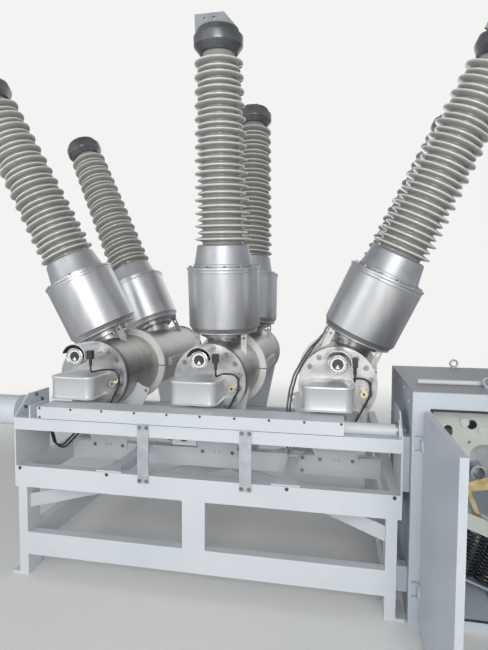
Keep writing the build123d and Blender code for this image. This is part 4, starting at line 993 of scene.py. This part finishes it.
bolt_disc(WASHER_SIDES, "Washer Radius", "Washer Height", ())
bolt_disc(HEAD_SIDES, "Head Radius", "Head Height", ("Washer Height",))
bolt_disc(STUD_SIDES, "Stud Radius", "Stud Height", ("Washer Height", "Head Height"))
print("bolt tree nodes so far", len(bolt_tree.nodes))

# %% [markdown]
# The joined bolt is set on every point and turned so that its Z axis follows the stored direction. The
# copies are made real at the end, because an export keeps only real faces.

# %% Set the bolt on every point
bolt_aim = add_node(bolt_tree, "GeometryNodeInputNamedAttribute", data_type="FLOAT_VECTOR")
bolt_aim.inputs["Name"].default_value = "aim"
bolt_turn = add_node(bolt_tree, "FunctionNodeAlignRotationToVector", axis="Z")
bolt_spread = add_node(bolt_tree, "GeometryNodeInstanceOnPoints")
bolt_real = add_node(bolt_tree, "GeometryNodeRealizeInstances")
bolt_finish = add_node(bolt_tree, "GeometryNodeSetMaterial")
wire(bolt_tree,
     (bolt_aim, "Attribute", bolt_turn, "Vector"),
     (bolt_in, "Points", bolt_spread, "Points"),
     (bolt_join, "Geometry", bolt_spread, "Instance"),
     (bolt_turn, "Rotation", bolt_spread, "Rotation"),
     (bolt_spread, "Instances", bolt_real, "Geometry"),
     (bolt_real, "Geometry", bolt_finish, "Geometry"),
     (bolt_in, "Finish", bolt_finish, "Material"),
     (bolt_finish, "Geometry", bolt_out, "Bolts"))
print("bolt tree nodes", len(bolt_tree.nodes))

# %% [markdown]
# ## Bolt a list of places
# A list of points and directions becomes a mesh of loose points, the tree puts its bolts on them, and the
# result is copied into a plain mesh. All bolts of one kind are one piece, since they all belong to the
# same body.

# %% A helper that bolts a list of places
FORWARD = Vector((0, -1, 0))
BACKWARD = Vector((0, 1, 0))
LEFTWARD = Vector((-1, 0, 0))
RIGHTWARD = Vector((1, 0, 0))


def bolts(name, places, head_radius, material=bolt_zinc, body=BREAKER, flat=False):
    """One piece with a bolt at each (point, direction); flat ones are low round-washered screws."""
    points = bpy.data.meshes.new(name + "_points")
    points.from_pydata([tuple(point) for point, aim in places], [], [])
    aims = points.attributes.new("aim", "FLOAT_VECTOR", "POINT")
    for i, (point, aim) in enumerate(places):
        aims.data[i].vector = aim
    field = link_object(name + "_field", points)
    modifier = field.modifiers.new("bolts", "NODES")
    modifier.node_group = bolt_tree
    shares = SCREW_SHARES if flat else BOLT_SHARES
    sizes = {label: head_radius * share for label, share in shares.items()}
    sizes["Finish"] = material
    for item in bolt_tree.interface.items_tree:
        if item.name in sizes:
            modifier[item.identifier] = sizes[item.name]
    field.update_tag()
    solid = bpy.data.meshes.new_from_object(field.evaluated_get(bpy.context.evaluated_depsgraph_get()))
    solid.name = name
    bpy.data.objects.remove(field)
    piece = link_object(name, solid)
    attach(piece, body)


def spaced_angles(count):
    """Angles of a ring of bolts, with a gap and not a bolt at the start."""
    return [2 * math.pi * (k + 0.5) / count for k in range(count)]


print("a ring of four starts at", round(math.degrees(spaced_angles(4)[0])), "degrees")

# %% [markdown]
# ## Bolts of the tank covers
# A ring of sixteen bolts presses each cover on its gasket, so that no gas escapes. The front ring skips
# the bolts that the crank box hides.

# %% Bolts of the tank covers
COVER_RING_R = 0.189
COVER_BOLTS = 16
COVER_HEAD_R = 0.0125
HIDDEN_LEFT, HIDDEN_RIGHT, HIDDEN_LOW, HIDDEN_HIGH = -0.205, 0.106, 0.997, 1.180

cover_places = []
for pole_x, lean in POLE_PLACES:
    for angle in spaced_angles(COVER_BOLTS):
        dx = COVER_RING_R * math.cos(angle)
        z = TANK_AXIS_Z + COVER_RING_R * math.sin(angle)
        cover_places.append((Vector((pole_x + dx, TANK_MID_Y + TANK_HALF, z)), BACKWARD))
        if not (HIDDEN_LEFT < dx < HIDDEN_RIGHT and HIDDEN_LOW < z < HIDDEN_HIGH):
            cover_places.append((Vector((pole_x + dx, TANK_FRONT_Y, z)), FORWARD))
bolts("cover_bolts", cover_places, COVER_HEAD_R)
print("cover bolts", len(cover_places))

# %% [markdown]
# ## Bolts of the bushings
# Each bushing has three rings of bolts: on the rim of its housing, under the flange of the tank's neck,
# and on its cap. The rings lie in the bushing's own frame, so they lean with it.

# %% Bolts of the bushings
# radius, height, number of bolts, and 1 for bolts that look up the bushing or -1 for down
BUSHING_RINGS = ((0.218, CT_TOP, 12, 1), (0.139, 0.252, 12, -1), (0.105, CAP_TOP, 8, 1))
BUSHING_HEAD_R = 0.0095

bushing_places = []
for place in BUSHINGS:
    axis = (place.to_3x3() @ Vector((0, 0, 1))).normalized()
    for radius, height, count, way in BUSHING_RINGS:
        for angle in spaced_angles(count):
            point = place @ Vector((radius * math.cos(angle), radius * math.sin(angle), height))
            bushing_places.append((point, axis * way))
bolts("bushing_bolts", bushing_places, BUSHING_HEAD_R)
print("bushing bolts", len(bushing_places))

# %% [markdown]
# ## Bolts of the stand
# Welds hold the stand itself, and bolts only what a fitter has to take off: the straps, the ties, the
# cradles under the tanks, the spring housing on the left plate and the drive tube on the right one. Each
# group stands in lists of its own, because no single rule places them all.

# %% Bolts of the stand
STAND_HEAD_R = 0.009
STRAP_FACE, STRAP_X, STRAP_HALF, STRAP_LEVELS = FRONT - 0.006, 0.285, 0.020, (0.912, 0.615)
TIE_FACE, TIE_X, TIE_LEVELS = -0.385, 0.546, (0.629, 0.551)
CRADLE_FACE, CRADLE_HALF, CRADLE_LEVEL = -0.387, 0.099, 0.627
LEFT_FACE = -1.068
LEFT_BOLTS = ((-0.711, 1.023), (-0.654, 0.983), (-0.817, 0.968), (-0.731, 0.956))
RIGHT_FACE, DRIVE_AXIS_Y, DRIVE_AXIS_Z, DRIVE_RING_R = 1.058, -0.822, 0.948, 0.046
# over the upper half of the ring
DRIVE_BOLTS = 5

stand_places = []
for side in (-1, 1):
    for dx in (-STRAP_HALF, STRAP_HALF):
        for z in STRAP_LEVELS:
            stand_places.append((Vector((side * STRAP_X + dx, STRAP_FACE, z)), FORWARD))
    for z in TIE_LEVELS:
        stand_places.append((Vector((side * TIE_X, TIE_FACE, z)), FORWARD))
for pole_x, lean in POLE_PLACES:
    for dx in (-CRADLE_HALF, CRADLE_HALF):
        stand_places.append((Vector((pole_x + dx, CRADLE_FACE, CRADLE_LEVEL)), FORWARD))
for y, z in LEFT_BOLTS:
    stand_places.append((Vector((LEFT_FACE, y, z)), RIGHTWARD))
for k in range(DRIVE_BOLTS):
    angle = math.pi * k / (DRIVE_BOLTS - 1)
    y, z = DRIVE_AXIS_Y + DRIVE_RING_R * math.cos(angle), DRIVE_AXIS_Z + DRIVE_RING_R * math.sin(angle)
    stand_places.append((Vector((RIGHT_FACE, y, z)), LEFTWARD))
bolts("stand_bolts", stand_places, STAND_HEAD_R)
print("stand bolts", len(stand_places))

# %% [markdown]
# ## Screws of covers and sheets
# Thin sheet is held by low screws. A row of them fastens the linkage cover, others the cabinet's side, the
# strip over its door and the rail. They use the same tree with flat shares.

# %% Screws of covers and sheets
COVER_SCREW_Z = 0.988
COVER_SCREW_X = (-0.911, -0.718, -0.530, -0.337, -0.150, 0.036, 0.224, 0.408, 0.590, 0.775)
LOW_SCREW_X, LOW_SCREW_Z = -0.911, 0.937
LINTEL_Y, LINTEL_Z, LINTEL_X = -0.790, 1.080, (1.150, 1.340, 1.640, 1.850)
SIDE_FACE = 1.115
SIDE_SCREWS = ((-0.102, 1.123), (-0.362, 1.128), (-0.583, 1.130), (-0.763, 1.092), (-0.032, 0.883),
               (-0.358, 0.893), (-0.783, 0.867), (-0.785, 0.641))
RAIL_SCREW_Z, RAIL_SCREW_X = 0.632, (-1.044, -0.503, 0.503, 1.040)
SIDE_HEAD_R, SHEET_HEAD_R, RAIL_HEAD_R = 0.0065, 0.0052, 0.0075

side_places = [(Vector((SIDE_FACE, y, z)), LEFTWARD) for y, z in SIDE_SCREWS]
sheet_places = [(Vector((x, FRONT, COVER_SCREW_Z)), FORWARD) for x in COVER_SCREW_X]
sheet_places.append((Vector((LOW_SCREW_X, FRONT, LOW_SCREW_Z)), FORWARD))
sheet_places += [(Vector((x, LINTEL_Y, LINTEL_Z)), FORWARD) for x in LINTEL_X]
rail_places = [(Vector((x, FRONT, RAIL_SCREW_Z)), FORWARD) for x in RAIL_SCREW_X]
bolts("side_screws", side_places, SIDE_HEAD_R, machined_alloy, flat=True)
bolts("sheet_screws", sheet_places, SHEET_HEAD_R, dark_screw, flat=True)
bolts("rail_screws", rail_places, RAIL_HEAD_R, dark_screw, flat=True)
print("screws", len(side_places) + len(sheet_places) + len(rail_places))

# %% [markdown]
# ## Gaskets, rings and trays
# The clamp rings are split, and a black sheet inside each cable tray is painted shade. Thin pieces that
# stand a fraction of a millimetre proud show these lines from every side, which paint on the tank could
# not do as sharply.

# %% Gaskets, rings and trays
FLANGE_R = 0.222
LINE_SUNK, LINE_PROUD = 0.002, 0.0006
GASKET_SETBACK = 0.025
# place along the tank from the gasket, half the width, and material
FLANGE_LINES = ((0, 0.0032, black_rubber), (0.013, 0.0022, dark_screw), (-0.014, 0.0022, dark_screw))
SPLIT_X, SPLIT_HALF = 0.2392, 0.0232
SPLIT_FRONT, SPLIT_BACK, SPLIT_THICK = -0.0224, 0.0064, 0.003
TANK_R, TRAY_GAP, TRAY_DEPTH = 0.216, 0.0003, 0.028
# painted shade: a thin black sheet inside each cable tray, where the tray lies in shade
SHADE_SHEET_IN, SHADE_SHEET_OUT, SHADE_SHEET_HALF = 0.0045, 0.0024, 0.0275
SHADE_SHEET_FRONT, SHADE_SHEET_BACK = 0.184, 0.626


def ring_outline(low, high):
    """Thin rectangular ring, sunk in the flange's edge and a little proud of it."""
    inner, outer = FLANGE_R - LINE_SUNK, FLANGE_R + LINE_PROUD
    return [Vector((inner, low)), Vector((outer, low)), Vector((outer, high)), Vector((inner, high))]


def block_piece(name, x, y, z, material):
    """Plain block between two limits on each axis."""
    corners = [(x[i], y[j], z[k]) for k in (0, 1) for j in (0, 1) for i in (0, 1)]
    faces = [(0, 2, 3, 1), (4, 5, 7, 6), (0, 1, 5, 4), (2, 6, 7, 3), (0, 4, 6, 2), (1, 3, 7, 5)]
    return mesh_piece(name, corners, faces, material)


def tank_trim(index, pole_x):
    """Gasket lines, ring splits and the painted shade sheet in the tray of one tank, each with its slot."""
    trim = []
    for end, (y, way) in enumerate(((TANK_FRONT_Y, 1), (TANK_MID_Y + TANK_HALF, -1))):
        place = facing_front(pole_x, y + way * GASKET_SETBACK, TANK_AXIS_Z)
        for line, (middle, half, material) in enumerate(FLANGE_LINES):
            outline = ring_outline(middle - half, middle + half)
            trim.append(turned_piece(f"flange_line_{index}_{end}_{line}", outline, place, material))
    split_z = (TANK_AXIS_Z - SPLIT_THICK, TANK_AXIS_Z + SPLIT_THICK)
    for side in (-1, 1):
        split_x = pole_x + side * SPLIT_X
        trim.append(block_piece(f"ring_split_{index}_{side}", (split_x - SPLIT_HALF, split_x + SPLIT_HALF),
                                (SPLIT_FRONT, SPLIT_BACK), split_z, dark_screw))
    tray_right = pole_x + TANK_R + TRAY_GAP + TRAY_DEPTH
    # painted shade: the black sheet inside the tray
    shade_sheet_z = (TANK_AXIS_Z - SHADE_SHEET_HALF, TANK_AXIS_Z + SHADE_SHEET_HALF)
    trim.append(block_piece(f"tray_shade_sheet_{index}", (tray_right - SHADE_SHEET_IN, tray_right - SHADE_SHEET_OUT),
                            (SHADE_SHEET_FRONT, SHADE_SHEET_BACK), shade_sheet_z, black_rubber))
    return [(piece, "black_plastic") for piece in trim]


print("lines on a tank", 2 * len(FLANGE_LINES))

# %% [markdown]
# ## Small fittings
# The valve has a hole in its hexagon, and two round clips hold each gauge lead to the tank cover. A fine
# seam runs between the linkage cover and the rail it stands on. The position indicator has a dark round
# window with a bright rim. Each of them is one small turned or plain solid, set on the face of its CAD
# piece.

# %% Small fittings
FITTING_SEGMENTS, WINDOW_SEGMENTS = 24, 48
BORE_X, BORE_Y, BORE_Z = 0.146, TANK_FRONT_Y - 0.045, TANK_AXIS_Z - 0.037
BORE_R, BORE_DEPTH = 0.0075, 0.0012
CLIP_X, CLIP_Y, CLIP_LEVELS = 0.181, TANK_FRONT_Y - 0.023, (1.142, 1.078)
CLIP_R, CLIP_HALF, CLIP_ROUND = 0.009, 0.006, 0.001
SEAM_X, SEAM_Y, SEAM_Z = (-0.926, 0.790), (FRONT - 0.0004, FRONT + 0.002), (0.9258, 0.9282)
WINDOW_PLACE = facing_front(-0.105, FRONT + 0.162, 0.828)

bore_outline = disc_outline(BORE_R, 0, BORE_DEPTH)
clip_outline = disc_outline(CLIP_R, -CLIP_HALF, CLIP_HALF, CLIP_ROUND, CLIP_ROUND)
window_outline = disc_outline(0.029, 0, 0.002, 0, 0.0008)
window_rim_outline = rounded([(0.030, 0, 0), (0.036, 0, 0), (0.036, 0.004, 0.001), (0.030, 0.004, 0.001),
                              (0.030, 0.001, 0)])


def valve_and_clips(index, pole_x):
    """Hole of one valve and the two clips of a gauge lead, each with its slot."""
    bore = turned_piece(f"valve_bore_{index}", bore_outline, facing_front(pole_x + BORE_X, BORE_Y, BORE_Z),
                        dark_screw, FITTING_SEGMENTS)
    fittings = [(bore, "valve_brass")]
    for clip, z in enumerate(CLIP_LEVELS):
        clip_place = Matrix.Translation((pole_x + CLIP_X, CLIP_Y, z))
        lead_clip = turned_piece(f"lead_clip_{index}_{clip}", clip_outline, clip_place, dark_screw,
                                 FITTING_SEGMENTS)
        fittings.append((lead_clip, "gauge_steel"))
    return fittings


small_pieces = []
for index, (pole_x, lean) in enumerate(POLE_PLACES):
    small_pieces += tank_trim(index, pole_x) + valve_and_clips(index, pole_x)
seam = block_piece("cover_seam", SEAM_X, SEAM_Y, SEAM_Z, black_rubber)
window = turned_piece("indicator_window", window_outline, WINDOW_PLACE, black_plastic, WINDOW_SEGMENTS)
window_rim = turned_piece("indicator_rim", window_rim_outline, WINDOW_PLACE, turned_steel, WINDOW_SEGMENTS)
small_pieces += [(seam, "black_plastic"), (window, "black_plastic"), (window_rim, "gauge_steel")]
for piece, slot in small_pieces:
    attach(piece, BREAKER)
print("small pieces", len(small_pieces))
